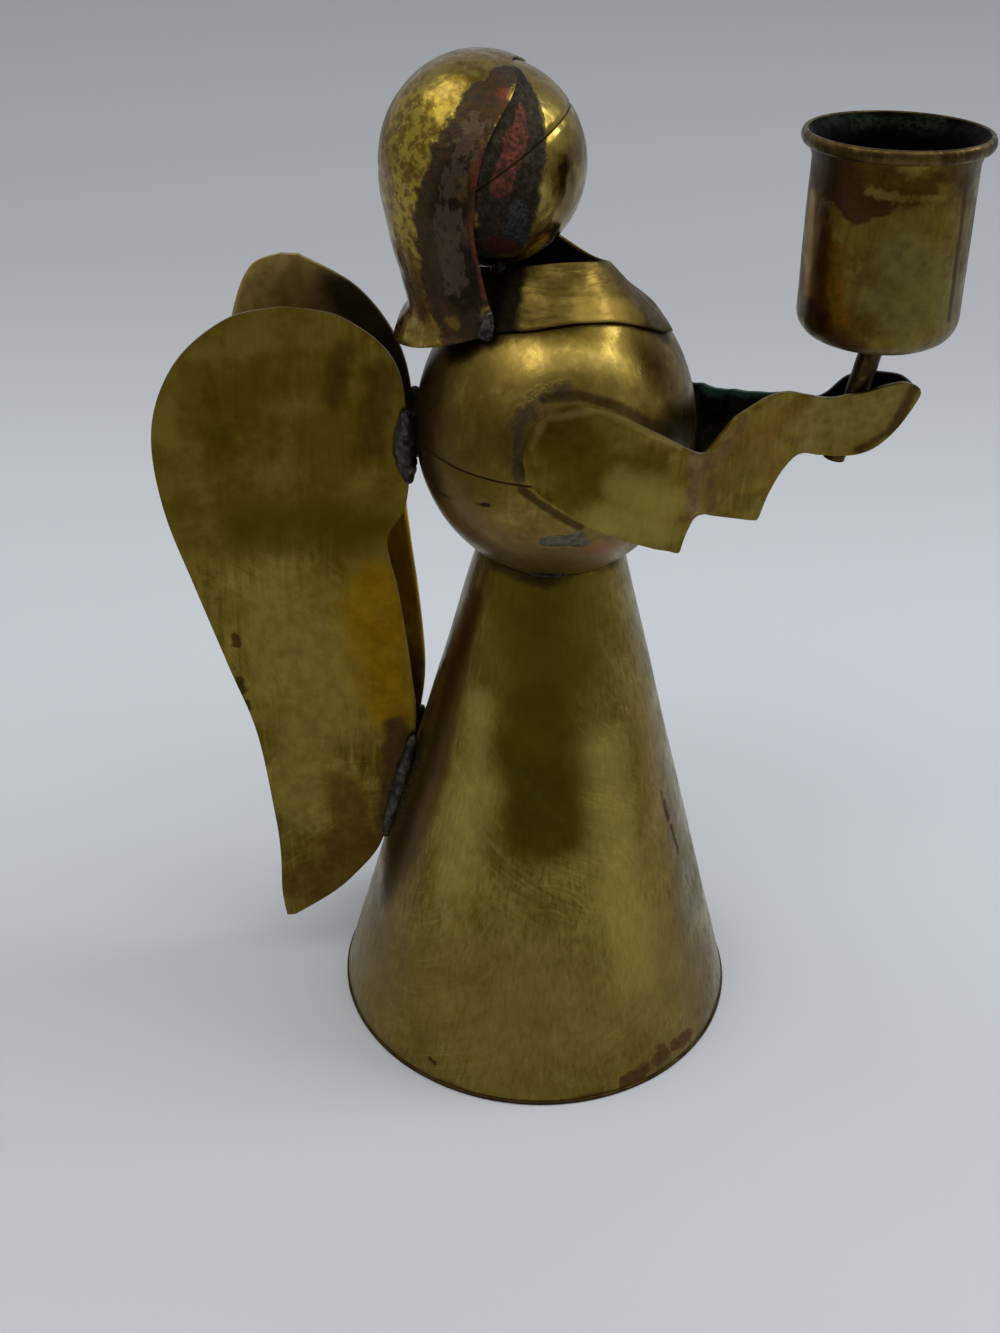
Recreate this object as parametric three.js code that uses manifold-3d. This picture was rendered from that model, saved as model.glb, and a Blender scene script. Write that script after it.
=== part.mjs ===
import * as THREE from 'three';
import { mergeVertices } from 'three/addons/utils/BufferGeometryUtils.js';
import ManifoldModule from 'manifold-3d';

// Angel candle holder in soldered sheet brass. Millimetres, +Z up.
// The origin is the centre of the underside. The angel faces -Y.

// Joints
const seat = 0.3;

// Skirt, a plain cone on a round plate
const skirtBaseRadius = 37;
const skirtApexHeight = 141.8;
const skirtSheet = 0.8;
const plateThickness = 0.8;

// Torso, an egg of two pressed halves. Everything above the skirt is set out from its middle
const torsoRadius = 22.4;
const torsoTall = 25.1;
const ballSheet = 0.8;
const torsoHeight = 117.7;

// Head, a smaller ball that is joined along a slanting seam
const headRadius = 15;
const headBack = 11.9;
const headRise = 41.9;
const headSeamTilt = 55;

// Hair, a hood of thin sheet over the back of the head
const hairSheet = 0.6;
const hairLift = 0.25;
const hairLength = 29;
const hairBottomSlope = 0.4;
const neckHalfWidth = 12.2;

// Collar, a pointed strip round the neck
const collarSheet = 0.7;
const collarPoint = 17.6;
const collarTopPoint = 7.5;
const collarClearance = 0.6;

// Arms
const armSheet = 0.8;
const armBack = -2.7;
const armTip = 55.6;
const leftArmDrop = 6.5;
const armDish = 1.9;

// Wings
const wingSheet = 0.7;
const wingRoot = 3.2;
const wingSpread = 0.1;
const wingRootLine = 20;

// Candle cup for a 22 mm taper candle
const candleDiameter = 22;
const candleClearance = 0.8;
const cupSheet = 0.7;
const cupHeight = 29.6;
const cupForward = 47.8;
const cupRimRise = 48.7;
const cupTilt = 1.8;
const cupCorner = 4.6;
const rimRadius = 1.1;

// Stem between the hands
const stemDiameter = 3.6;
const stemFootForward = 44.6;
const stemFootDrop = 2.6;
const stemHeadForward = 48.5;

const headHeight = torsoHeight + headRise;
const cupRimHeight = torsoHeight + cupRimRise;
const cupOuterRadius = (candleDiameter + candleClearance) / 2 + cupSheet;

const brass = (name, color) => new THREE.MeshStandardMaterial({ name, color, metalness: 0.9, roughness: 0.35 });

const at = (forward, right, up) => new THREE.Vector3(-right, -forward, up);

const skirtRadiusAt = (height) => skirtBaseRadius * (1 - height / skirtApexHeight);

const solids = await ManifoldModule();
solids.setup();
const { Manifold, Mesh } = solids;

// A smooth height curve through a few named stations
function through(stations) {
  const slope = (i) => {
    const before = stations[Math.max(i - 1, 0)];
    const after = stations[Math.min(i + 1, stations.length - 1)];
    return (after[1] - before[1]) / (after[0] - before[0]);
  };
  return (x) => {
    let i = 0;
    while (i < stations.length - 2 && x > stations[i + 1][0]) i += 1;
    const [x0, y0] = stations[i];
    const [x1, y1] = stations[i + 1];
    const span = x1 - x0;
    const t = THREE.MathUtils.clamp((x - x0) / span, 0, 1);
    const a = 2 * t ** 3 - 3 * t ** 2 + 1;
    const b = t ** 3 - 2 * t ** 2 + t;
    const c = t ** 3 - t ** 2;
    return a * y0 + (1 - a) * y1 + b * span * slope(i) + c * span * slope(i + 1);
  };
}

function signedVolume(geometry) {
  const place = geometry.getAttribute('position');
  const index = geometry.getIndex();
  const [a, b, c] = [new THREE.Vector3(), new THREE.Vector3(), new THREE.Vector3()];
  let volume = 0;
  for (let i = 0; i < index.count; i += 3) {
    a.fromBufferAttribute(place, index.getX(i));
    b.fromBufferAttribute(place, index.getX(i + 1));
    c.fromBufferAttribute(place, index.getX(i + 2));
    volume += a.dot(b.cross(c)) / 6;
  }
  return volume;
}

function facingOut(geometry) {
  if (signedVolume(geometry) < 0) {
    const list = geometry.getIndex().array;
    for (let i = 0; i < list.length; i += 3) {
      const keep = list[i + 1];
      list[i + 1] = list[i + 2];
      list[i + 2] = keep;
    }
  }
  geometry.computeVertexNormals();
  return geometry;
}

function fromLists(points, faces) {
  const geometry = new THREE.BufferGeometry();
  const flat = points.flatMap((p) => [p.x, p.y, p.z]);
  geometry.setAttribute('position', new THREE.Float32BufferAttribute(flat, 3));
  geometry.setIndex(faces);
  return facingOut(geometry);
}

function asManifold(geometry) {
  const bare = geometry.clone();
  bare.deleteAttribute('normal');
  bare.deleteAttribute('uv');
  const merged = mergeVertices(bare, 1e-4);
  const mesh = new Mesh({
    numProp: 3,
    vertProperties: new Float32Array(merged.getAttribute('position').array),
    triVerts: new Uint32Array(merged.getIndex().array),
  });
  return new Manifold(mesh);
}

function asGeometry(manifold) {
  const mesh = manifold.getMesh();
  const geometry = new THREE.BufferGeometry();
  const place = [];
  for (let i = 0; i < mesh.vertProperties.length; i += mesh.numProp) {
    place.push(mesh.vertProperties[i], mesh.vertProperties[i + 1], mesh.vertProperties[i + 2]);
  }
  geometry.setAttribute('position', new THREE.Float32BufferAttribute(place, 3));
  geometry.setIndex(Array.from(mesh.triVerts));
  geometry.computeVertexNormals();
  return geometry;
}

// Thin sheet metal along a surface: surface(u, v) gives the middle of the sheet
function sheetMetal(surface, columns, rows, thickness) {
  const points = [];
  const nudge = 0.002;
  for (let j = 0; j <= rows; j += 1) {
    for (let i = 0; i <= columns; i += 1) {
      const [u, v] = [i / columns, j / rows];
      const along = surface(Math.min(u + nudge, 1), v).sub(surface(Math.max(u - nudge, 0), v));
      const across = surface(u, Math.min(v + nudge, 1)).sub(surface(u, Math.max(v - nudge, 0)));
      const normal = along.cross(across).normalize();
      const middle = surface(u, v);
      points.push(middle.clone().addScaledVector(normal, thickness / 2));
      points.push(middle.clone().addScaledVector(normal, -thickness / 2));
    }
  }
  const front = (i, j) => 2 * (j * (columns + 1) + i);
  const back = (i, j) => front(i, j) + 1;
  const faces = [];
  const quad = (a, b, c, d) => faces.push(a, b, c, a, c, d);
  for (let j = 0; j < rows; j += 1) {
    for (let i = 0; i < columns; i += 1) {
      quad(front(i, j), front(i + 1, j), front(i + 1, j + 1), front(i, j + 1));
      quad(back(i, j), back(i, j + 1), back(i + 1, j + 1), back(i + 1, j));
    }
  }
  for (let i = 0; i < columns; i += 1) {
    quad(front(i, 0), back(i, 0), back(i + 1, 0), front(i + 1, 0));
    quad(front(i, rows), front(i + 1, rows), back(i + 1, rows), back(i, rows));
  }
  for (let j = 0; j < rows; j += 1) {
    quad(front(0, j), front(0, j + 1), back(0, j + 1), back(0, j));
    quad(front(columns, j), back(columns, j), back(columns, j + 1), front(columns, j + 1));
  }
  return fromLists(points, faces);
}

// A solid between stacked rings, closed below by a flat fan and above by one point
function ringStack(levels, segments, ringPoint, top) {
  const points = [];
  levels.forEach((level) => {
    for (let i = 0; i < segments; i += 1) points.push(ringPoint(level, (2 * Math.PI * i) / segments));
  });
  const faces = [];
  for (let j = 0; j < levels.length - 1; j += 1) {
    for (let i = 0; i < segments; i += 1) {
      const next = (i + 1) % segments;
      const [a, b] = [j * segments + i, j * segments + next];
      faces.push(a, b, b + segments, a, b + segments, a + segments);
    }
  }
  const foot = points.length;
  const middle = new THREE.Vector3();
  for (let i = 0; i < segments; i += 1) middle.addScaledVector(points[i], 1 / segments);
  points.push(middle, top);
  const last = (levels.length - 1) * segments;
  for (let i = 0; i < segments; i += 1) {
    const next = (i + 1) % segments;
    faces.push(next, i, foot, last + i, last + next, foot + 1);
  }
  return fromLists(points, faces);
}

function turned(profile, segments) {
  const outline = profile.map(([radius, height]) => new THREE.Vector2(radius, height));
  const geometry = new THREE.LatheGeometry(outline, segments);
  geometry.rotateX(Math.PI / 2);
  geometry.deleteAttribute('uv');
  geometry.deleteAttribute('normal');
  return facingOut(mergeVertices(geometry, 1e-4));
}

const arc = (radius, from, to, steps) =>
  Array.from({ length: steps + 1 }, (_, i) => {
    const angle = THREE.MathUtils.degToRad(from + ((to - from) * i) / steps);
    return [radius * Math.cos(angle), radius * Math.sin(angle)];
  });

const egg = (radius, tall, centre, segments = 48) => {
  const geometry = new THREE.SphereGeometry(1, segments, segments / 2);
  geometry.rotateX(Math.PI / 2);
  geometry.scale(radius, radius, tall);
  geometry.translate(centre.x, centre.y, centre.z);
  return asManifold(geometry);
};

const ball = (radius, centre, segments = 48) => egg(radius, radius, centre, segments);

// Stations that are given from a height of their own
const liftedBy = (base, stations) => through(stations.map(([x, rise]) => [x, base + rise]));

// Skirt and its plate

function basePlate() {
  return turned([[0, 0], [skirtBaseRadius, 0], [skirtBaseRadius, plateThickness], [0, plateThickness]], 72);
}

const skirtFoot = plateThickness + seat;
const torsoCentre = at(0, 0, torsoHeight);

// The torso's own form, made larger all round
const torsoWith = (room, segments = 48) => egg(torsoRadius + room, torsoTall + room, torsoCentre, segments);

const torsoRadiusAt = (height, room) => {
  const rise = (height - torsoHeight) / (torsoTall + room);
  return (torsoRadius + room) * Math.sqrt(Math.max(1 - rise ** 2, 0));
};

const torsoTopAt = (forward, right, room) => {
  const reach = Math.hypot(forward, right) / (torsoRadius + room);
  return torsoHeight + (torsoTall + room) * Math.sqrt(Math.max(1 - reach ** 2, 0));
};

function skirtTop() {
  let height = torsoHeight - torsoTall;
  while (skirtRadiusAt(height) > torsoRadiusAt(height, seat)) height += 0.05;
  return height - 0.05;
}

function skirt() {
  const wall = skirtSheet / Math.cos(Math.atan2(skirtBaseRadius, skirtApexHeight));
  const top = skirtTop();
  return turned([
    [skirtRadiusAt(skirtFoot) - wall, skirtFoot],
    [skirtRadiusAt(skirtFoot), skirtFoot],
    [skirtRadiusAt(top), top],
    [skirtRadiusAt(top) - wall, top - 0.3],
    [skirtRadiusAt(skirtFoot) - wall, skirtFoot],
  ], 72);
}

// Torso and head halves: each is an open pressed bowl

function bowl(radius, segments, steps) {
  const edge = THREE.MathUtils.radToDeg(Math.asin(seat / 2 / radius));
  const innerEdge = THREE.MathUtils.radToDeg(Math.asin(seat / 2 / (radius - ballSheet)));
  const outside = arc(radius, 90, edge, steps);
  const inside = arc(radius - ballSheet, innerEdge, 90, steps);
  outside[0][0] = 0;
  inside[inside.length - 1][0] = 0;
  return turned([...outside, ...inside], segments);
}

function torsoHalf(upper) {
  const half = bowl(torsoRadius, 36, 8).scale(1, 1, torsoTall / torsoRadius);
  if (!upper) half.rotateX(Math.PI);
  return half.translate(0, 0, torsoHeight);
}

function headHalf(upper) {
  const half = bowl(headRadius, 28, 6);
  if (!upper) half.rotateX(Math.PI);
  half.rotateX(THREE.MathUtils.degToRad(headSeamTilt - 90));
  return half.translate(0, headBack, headHeight);
}

// Hair

const hairRadius = headRadius + hairLift + hairSheet;
const hairFoot = -hairLength - 1.6;
const hairBackBelow = through([
  [hairFoot, -23.2], [hairFoot + 2, -23.9], [hairFoot + 4, -25], [hairFoot + 6, -24.4], [hairFoot + 8, -23.5],
  [-17.6, -24.7], [-11.6, -26.3], [-5.6, -27.2], [-2.6, -headBack - hairRadius + 0.1], [0, -headBack - hairRadius],
]);
const hairSideBelow = through([
  [hairFoot, neckHalfWidth], [hairFoot + 4, neckHalfWidth + 0.4], [hairFoot + 8, neckHalfWidth - 0.2],
  [-18.6, neckHalfWidth + 0.2], [-12.6, 13.3], [-6.3, 14.8], [-2.6, hairRadius - 0.2], [0, hairRadius],
]);

function hairPoint(height, angle, inset) {
  const rise = height - headHeight;
  const radius = hairRadius - inset;
  const crown = Math.sqrt(Math.max(radius ** 2 - rise ** 2, 0.01));
  const side = rise > 0 ? crown : hairSideBelow(rise) - inset;
  const back = rise > 0 ? crown : -headBack - hairBackBelow(rise) - inset;
  const front = rise > 0 ? crown : radius;
  const reach = Math.cos(angle) > 0 ? front : back;
  return at(-headBack + reach * Math.cos(angle), side * Math.sin(angle), height);
}

function hairForm(inset, deeper) {
  const rises = [hairFoot - deeper, hairFoot + 3, hairFoot + 5, hairFoot + 8, -19.6, -15.6, -11.6, -7.6, -3.6, 0];
  const levels = rises.map((rise) => headHeight + rise);
  const radius = hairRadius - inset;
  for (let lift = 13; lift < 86; lift += 14) {
    levels.push(headHeight + radius * Math.sin(THREE.MathUtils.degToRad(lift)));
  }
  const ring = (height, angle) => hairPoint(height, angle, inset);
  return asManifold(ringStack(levels, 28, ring, at(-headBack, 0, headHeight + radius)));
}

// A block as seen from the side, as wide as asked
function sideBlock(outline, width) {
  const shape = new THREE.Shape(outline.map(([forward, up]) => new THREE.Vector2(forward, up)));
  const geometry = new THREE.ExtrudeGeometry(shape, { depth: width, bevelEnabled: false });
  geometry.translate(0, 0, -width / 2);
  geometry.applyMatrix4(new THREE.Matrix4().makeBasis(at(1, 0, 0), at(0, 0, 1), at(0, 1, 0)));
  return asManifold(geometry);
}

function hairShell() {
  const above = hairRadius + 3;
  const below = hairFoot - 4;
  const faceEdge = new THREE.SplineCurve([
    [-6.4, above], [-6.6, 15.4], [-7.2, 12.4], [-8.6, 9.6], [-10, 6.2], [-11.3, 0.2],
    [-11.6, -6.3], [-10.8, -11.8], [-9.5, -18.1], [-8.8, -22.1], [-8.9, below],
  ].map(([forward, rise]) => new THREE.Vector2(forward, headHeight + rise)));
  const edge = faceEdge.getPoints(14).map((p) => [p.x, p.y]);
  const face = sideBlock([...edge, [12, headHeight + below], [12, headHeight + above]], 60);
  const foot = headHeight - hairLength;
  const neckCut = sideBlock([
    [-34, foot - 12], [0, foot - 12],
    [0, foot + 24 * hairBottomSlope], [-34, foot - 10 * hairBottomSlope],
  ], 60);
  const hood = hairForm(0, 0)
    .subtract(hairForm(hairSheet, 10))
    .subtract(face)
    .subtract(neckCut)
    .subtract(torsoWith(2 * seat));
  return asGeometry(largest(hood));
}

function largest(manifold) {
  const parts = manifold.decompose();
  return parts.reduce((best, next) => (next.volume() > best.volume() ? next : best));
}

// Collar

function collar() {
  const nearTorso = (forward, right, rise) => {
    const room = collarClearance + collarSheet / 2;
    return at(forward, right, torsoTopAt(forward, right, room) + rise);
  };
  const underHead = (forward, right, drop) => at(forward, right, headHeight - headRadius - drop);
  const half = (side) => ({
    lower: new THREE.CatmullRomCurve3([
      nearTorso(-7.3, side * 12.2, 0),
      nearTorso(-3.5, side * 12.8, 0),
      nearTorso(-0.4, side * 12.5, 0),
      nearTorso(2.9, side * 11.7, 0),
      nearTorso(6.1, side * 10.4, 0),
      nearTorso(9.2, side * 8.7, 0),
      nearTorso(13.4, side * 5.6, 0),
      nearTorso(collarPoint, 0, 0.5),
    ]),
    upper: new THREE.CubicBezierCurve3(
      underHead(-7.5, side * 6.7, -1.1),
      underHead(-1.5, side * 7.6, -2.6),
      underHead(5.2, side * 7, -3.4),
      underHead(collarTopPoint, 0, -0.5),
    ),
  });
  const sides = [half(1), half(-1)];
  const surface = (u, v) => {
    const { lower, upper } = sides[u < 0.5 ? 0 : 1];
    const t = u < 0.5 ? 2 * u : 2 - 2 * u;
    return lower.getPoint(t).lerp(upper.getPoint(t), v);
  };
  return sheetMetal(surface, 26, 2, collarSheet);
}

// Arms: shoulder plate, elbow bend, cuff and hand are one sheet

const armSideAt = through([
  [armBack, torsoRadius - 0.1], [0, torsoRadius + 0.7], [4.5, torsoRadius + 0.4], [9.2, torsoRadius - 1.1],
  [15, torsoRadius - 3.5], [20, torsoRadius - 5.6], [24.2, 15.2],
  [28, 12.7], [34, 7.9], [39.5, 3.5], [42.2, 2.3], [44.5, 2.5], [48, 2.9], [52, 2.3], [armTip, 0.9],
]);
const armLowAt = liftedBy(torsoHeight, [
  [armBack, -2.7], [3, -3.3], [7.6, -6.8], [12.1, -9.6], [17, -11.7], [19.5, -12.3], [21, -12.6], [21.6, -12.6],
  [22.1, -11.4], [23.2, -8.4], [24.2, -6.5], [25.4, -6.4], [29.4, -8.3], [32.6, -9.7], [33.3, -9.6],
  [33.9, -7.7], [34.6, -5.6], [36.2, -2.3], [38.4, -0.5],
  [42, -1.1], [46, -1.1], [49.5, 0.1], [53, 3.4], [armTip, 8.7],
]);
const armHighAt = liftedBy(torsoHeight, [
  [armBack, 12.9], [2, 13.3], [5, 13.1], [10.8, 11.3], [16.9, 7.9], [21.6, 4.9], [23.6, 4.3], [24.3, 4.6],
  [27.6, 8.6], [30.1, 9.9], [33, 11], [36, 10.9], [39, 9.5], [42.4, 8.5],
  [45.5, 9.5], [48.4, 10.5], [51.3, 11.6], [53.6, 12.5], [armTip, 12.5],
]);

const armMiddle = torsoHeight + 1.8;

// The nearest that the middle of an arm sheet may come to the torso
const besideTorso = (forward, height) => {
  const reach = torsoRadiusAt(height, seat + armSheet / 2 + 0.05);
  return Math.sqrt(Math.max(reach ** 2 - forward ** 2, 0));
};

// How much of the full sheet height is left near a rounded end
const rounded = (distance, reach) => {
  const t = THREE.MathUtils.clamp(distance / reach, 0, 1);
  return Math.sqrt(1 - (1 - t) ** 2);
};

function arm(side) {
  const drop = side > 0 ? 0 : leftArmDrop;
  const surface = (u, v) => {
    const pulled = u - 0.055 * Math.sin(2 * Math.PI * u) * (u < 0.5 ? 1 : 0.6);
    const forward = THREE.MathUtils.lerp(armBack, armTip, pulled);
    const low = armLowAt(forward);
    const high = armHighAt(forward);
    const keep = 0.12 + 0.88 * rounded(forward - armBack, 8) * rounded(armTip - forward, 3.4);
    const middle = (low + high) / 2 + (forward > 50 ? 0.5 * (1 - keep) : -0.2 * (1 - keep));
    const height = middle + (v - 0.5) * (high - low) * keep;
    const dish = 1 - THREE.MathUtils.smoothstep(forward, 8, 26);
    const free = armSideAt(forward) - dish * ((height - armMiddle) / 11) ** 2 * armDish;
    const sag = drop * (1 - THREE.MathUtils.smoothstep(forward, 33, 46));
    const out = Math.max(free, besideTorso(forward, height - sag));
    return at(forward, side * out, height - sag);
  };
  return sheetMetal(surface, 56, 4, armSheet);
}

// Wings

// Wing heights are set out for a torso at 117.7 and follow it
const wingScale = torsoHeight / 117.7;

const beside = (height) => -(skirtRadiusAt(height) + 0.75);

const besideSkirt = (height) => [beside(height * wingScale), height];

const wingEdges = {
  right: {
    trailing: [
      [-48, 13], [-48.9, 19], [-48.8, 28.4], [-49.3, 38], [-51.6, 56.4], [-55.6, 70.5], [-60, 86],
      [-63.8, 100], [-64.9, 112], [-63, 121], [-58.2, 129], [-50.5, 135], [-42.6, 136.9],
    ],
    leading: [
      [-46.4, 12.9], [-39, 18.7], [-34.3, 23.9], besideSkirt(31), besideSkirt(41), besideSkirt(57),
      [-23.4, 70], [-25.3, 86], [-27, 96.4], [-23.9, 103], [-23.2, 114], [-25.2, 128], [-33, 135.2], [-40.6, 136.9],
    ],
  },
  left: {
    trailing: [
      [-46, 15], [-47, 21], [-46.6, 30], [-47, 40], [-49, 57], [-51.5, 71], [-54, 87],
      [-56.2, 101], [-56.6, 113], [-55.8, 122], [-53.8, 131.8], [-50.4, 138.9], [-45, 141.4],
    ],
    leading: [
      [-44.4, 14.9], [-38, 20], [-34, 25], besideSkirt(32), besideSkirt(42), besideSkirt(54),
      [-22.5, 66], [-22.9, 80], [-23.9, 93], [-24.6, 103], [-23.6, 114], [-25.8, 127], [-32.8, 136], [-42, 141.3],
    ],
  },
};

const wingOutAt = (forward, height) => {
  const back = -forward - wingRootLine;
  return wingRoot + wingSpread * back + 0.9 * Math.sin((Math.PI * height) / 140) * Math.sin((Math.PI * back) / 48);
};

function wing(side) {
  const edges = side > 0 ? wingEdges.right : wingEdges.left;
  const curve = (list) => new THREE.SplineCurve(list.map(([forward, up]) => new THREE.Vector2(forward, up * wingScale)));
  const trailing = curve(edges.trailing);
  const leading = curve(edges.leading);
  const surface = (u, v) => {
    const back = trailing.getPoint(v);
    const front = leading.getPoint(v);
    const spot = back.lerp(front, u);
    return at(spot.x, side * wingOutAt(spot.x, spot.y), spot.y);
  };
  return sheetMetal(surface, 5, 34, wingSheet);
}

// Candle cup and stem

function placeOnCupAxis(geometry) {
  geometry.rotateX(THREE.MathUtils.degToRad(-cupTilt));
  return geometry.translate(0, -cupForward, cupRimHeight);
}

function candleCup() {
  const inner = cupOuterRadius - cupSheet;
  const corner = arc(cupCorner, -90, 0, 4).map(([x, y]) => [x + cupOuterRadius - cupCorner, y + cupCorner - cupHeight]);
  const innerCorner = arc(cupCorner - cupSheet, 0, -90, 4)
    .map(([x, y]) => [x + cupOuterRadius - cupCorner, y + cupCorner - cupHeight]);
  const beadCentre = cupOuterRadius - 0.1 + rimRadius * 0.75;
  const bead = arc(rimRadius, -140, 150, 7).map(([x, y]) => [x + beadCentre, y - rimRadius]);
  return placeOnCupAxis(turned([
    [0, -cupHeight],
    ...corner,
    ...bead,
    [inner, -0.6],
    ...innerCorner,
    [0, cupSheet - cupHeight],
  ], 34));
}

function cupFoot() {
  const tilt = THREE.MathUtils.degToRad(cupTilt);
  return at(cupForward + cupHeight * Math.sin(tilt), 0, cupRimHeight - cupHeight * Math.cos(tilt));
}

function stemLine() {
  const foot = at(stemFootForward, 0, torsoHeight - stemFootDrop);
  const head = at(stemHeadForward, 0, cupFoot().z - seat - 0.45);
  return { foot, head };
}

function roundBar(from, to, radius, segments) {
  const along = to.clone().sub(from);
  const geometry = new THREE.CylinderGeometry(radius, radius, along.length(), segments);
  geometry.applyQuaternion(new THREE.Quaternion().setFromUnitVectors(new THREE.Vector3(0, 1, 0), along.clone().normalize()));
  const middle = from.clone().lerp(to, 0.5);
  return geometry.translate(middle.x, middle.y, middle.z);
}

function cupStem() {
  const { foot, head } = stemLine();
  return facingOut(mergeVertices(stripped(roundBar(foot, head, stemDiameter / 2, 18)), 1e-4));
}

function stripped(geometry) {
  geometry.deleteAttribute('uv');
  geometry.deleteAttribute('normal');
  return geometry;
}

// Solder

function blob(centre, size, turn = 0) {
  const geometry = new THREE.SphereGeometry(1, 12, 8);
  geometry.scale(size[1], size[0], size[2]);
  geometry.rotateX(THREE.MathUtils.degToRad(turn));
  geometry.translate(centre.x, centre.y, centre.z);
  return asManifold(geometry);
}

const torsoClear = () => torsoWith(seat * 0.7, 40);

const skirtClear = () => asManifold(turned([
  [0, 0], [skirtRadiusAt(0) + seat / 2, 0], [0, skirtApexHeight + seat],
], 96));

// The space that one wing sheet and a little air fill
function wingClear(side) {
  const surface = (u, v) => {
    const forward = THREE.MathUtils.lerp(-34, -14, u);
    const height = THREE.MathUtils.lerp(24, torsoHeight + 12, v);
    return at(forward, side * wingOutAt(forward, height), height);
  };
  return asManifold(sheetMetal(surface, 5, 13, wingSheet + seat));
}

function wingTorsoSolder(side) {
  const out = side * (wingRoot + 1.5);
  const body = blob(at(-torsoRadius - 0.6, out, torsoHeight - 4.7), [2, 1.8, 4.6])
    .add(blob(at(-torsoRadius - 0.8, out, torsoHeight + 1), [2, 1.7, 4]));
  return asGeometry(largest(body.subtract(torsoClear()).subtract(wingClear(side))));
}

function wingSkirtSolder(side) {
  const out = side * (wingRoot + 1.6);
  const ends = [32.5 * wingScale, 55 * wingScale].map((height, i) => blob(at(beside(height) + 0.4, out, height), [1.8 - 0.3 * i, 1.7, 2.4]));
  const body = Manifold.hull(ends);
  return asGeometry(largest(body.subtract(skirtClear()).subtract(wingClear(side))));
}

function armTorsoSolder(side) {
  const sag = side > 0 ? 0 : leftArmDrop;
  const body = blob(at(3.4, side * (torsoRadius - 0.9), armMiddle + 1 - sag), [4.4, 1.6, 5]);
  const surface = (u, v) => {
    const forward = THREE.MathUtils.lerp(-6, 14, u);
    const height = armMiddle + THREE.MathUtils.lerp(-7.5, 9.5, v);
    const free = armSideAt(Math.max(forward, armBack)) - ((height - armMiddle) / 11) ** 2 * armDish;
    const out = Math.max(free, besideTorso(forward, height - sag));
    return at(forward, side * (out + 1.6), height - sag);
  };
  const outside = asManifold(sheetMetal(surface, 5, 5, 4.3));
  return asGeometry(largest(body.subtract(torsoClear()).subtract(outside)));
}

function hairTorsoSolder(side) {
  const out = neckHalfWidth - 0.4;
  const body = blob(at(-10.6, side * out, torsoTopAt(-10.6, out, 1)), [2.6, 1.5, 2.4], 20);
  return asGeometry(largest(body.subtract(torsoClear()).subtract(hairForm(-seat / 2, 6))));
}

function collarHeadSolder(side) {
  const top = headHeight - headRadius + 1.2;
  return asGeometry(blob(at(-8.6, side * 6.3, top), [0.7, 0.9, 1.6])
    .subtract(ball(headRadius + seat / 2, at(-headBack, 0, headHeight))));
}

function torsoSkirtSolder() {
  const turn = THREE.MathUtils.degToRad(4);
  const height = skirtTop() + 1.5;
  const out = torsoRadiusAt(height, 0) - 0.8;
  const place = at(out * Math.sin(turn), out * Math.cos(turn), height);
  return asGeometry(largest(blob(place, [3.2, 1.6, 0.9]).subtract(torsoClear()).subtract(skirtClear())));
}

function cupStemSolder() {
  const { foot, head } = stemLine();
  const collarRing = asManifold(stripped(roundBar(
    head.clone().lerp(foot, 0.06), head.clone().lerp(foot, 0.005), stemDiameter / 2 + 0.9, 24,
  )));
  const bore = asManifold(stripped(roundBar(foot, head.clone().lerp(foot, -0.1), stemDiameter / 2 + seat / 2, 18)));
  return asGeometry(collarRing.subtract(bore));
}

function handStemSolder() {
  const { foot, head } = stemLine();
  const bore = asManifold(stripped(roundBar(foot, head, stemDiameter / 2 + seat / 2, 18)));
  const palm = blob(head.clone().lerp(foot, 0.66), [3.6, 1.9, 1.5]);
  return asGeometry(largest(palm.subtract(bore)));
}

const pieces = [
  ['base_plate', basePlate(), 0x8d7434],
  ['skirt', skirt(), 0xa8893f],
  ['torso_lower_half', torsoHalf(false), 0xb0914a],
  ['torso_upper_half', torsoHalf(true), 0xb8994c],
  ['collar', collar(), 0xa58a42],
  ['head_lower_half', headHalf(false), 0xb3944a],
  ['head_upper_half', headHalf(true), 0xab8c44],
  ['hair_shell', hairShell(), 0x8f6a3a],
  ['arm_right', arm(1), 0xa88c3c],
  ['arm_left', arm(-1), 0x7c7444],
  ['wing_right', wing(1), 0x97802f],
  ['wing_left', wing(-1), 0x9c8434],
  ['candle_cup', candleCup(), 0x7d5f32],
  ['cup_stem', cupStem(), 0x5d4a34],
  ['wing_right_torso_solder', wingTorsoSolder(1), 0x5a5a58],
  ['wing_left_torso_solder', wingTorsoSolder(-1), 0x5a5a58],
  ['wing_right_skirt_solder', wingSkirtSolder(1), 0x5a5a58],
  ['wing_left_skirt_solder', wingSkirtSolder(-1), 0x5a5a58],
  ['arm_right_torso_solder', armTorsoSolder(1), 0x5a5a58],
  ['arm_left_torso_solder', armTorsoSolder(-1), 0x5a5a58],
  ['hair_right_torso_solder', hairTorsoSolder(1), 0x5a5a58],
  ['hair_left_torso_solder', hairTorsoSolder(-1), 0x5a5a58],
  ['collar_right_head_solder', collarHeadSolder(1), 0x5a5a58],
  ['collar_left_head_solder', collarHeadSolder(-1), 0x5a5a58],
  ['torso_skirt_solder', torsoSkirtSolder(), 0x5a5a58],
  ['cup_stem_solder', cupStemSolder(), 0x5a5a58],
  ['hand_stem_solder', handStemSolder(), 0x5a5a58],
];

const holder = new THREE.Group();
holder.name = 'angel_candle_holder';
pieces.forEach(([name, geometry, color]) => {
  const mesh = new THREE.Mesh(geometry, brass(name, color));
  mesh.name = name;
  holder.add(mesh);
});

export default holder;
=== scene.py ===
import bpy
from math import asin, cos, exp, hypot, pi, radians, sin, sqrt, tan
from mathutils import Matrix, Vector, noise


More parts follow.
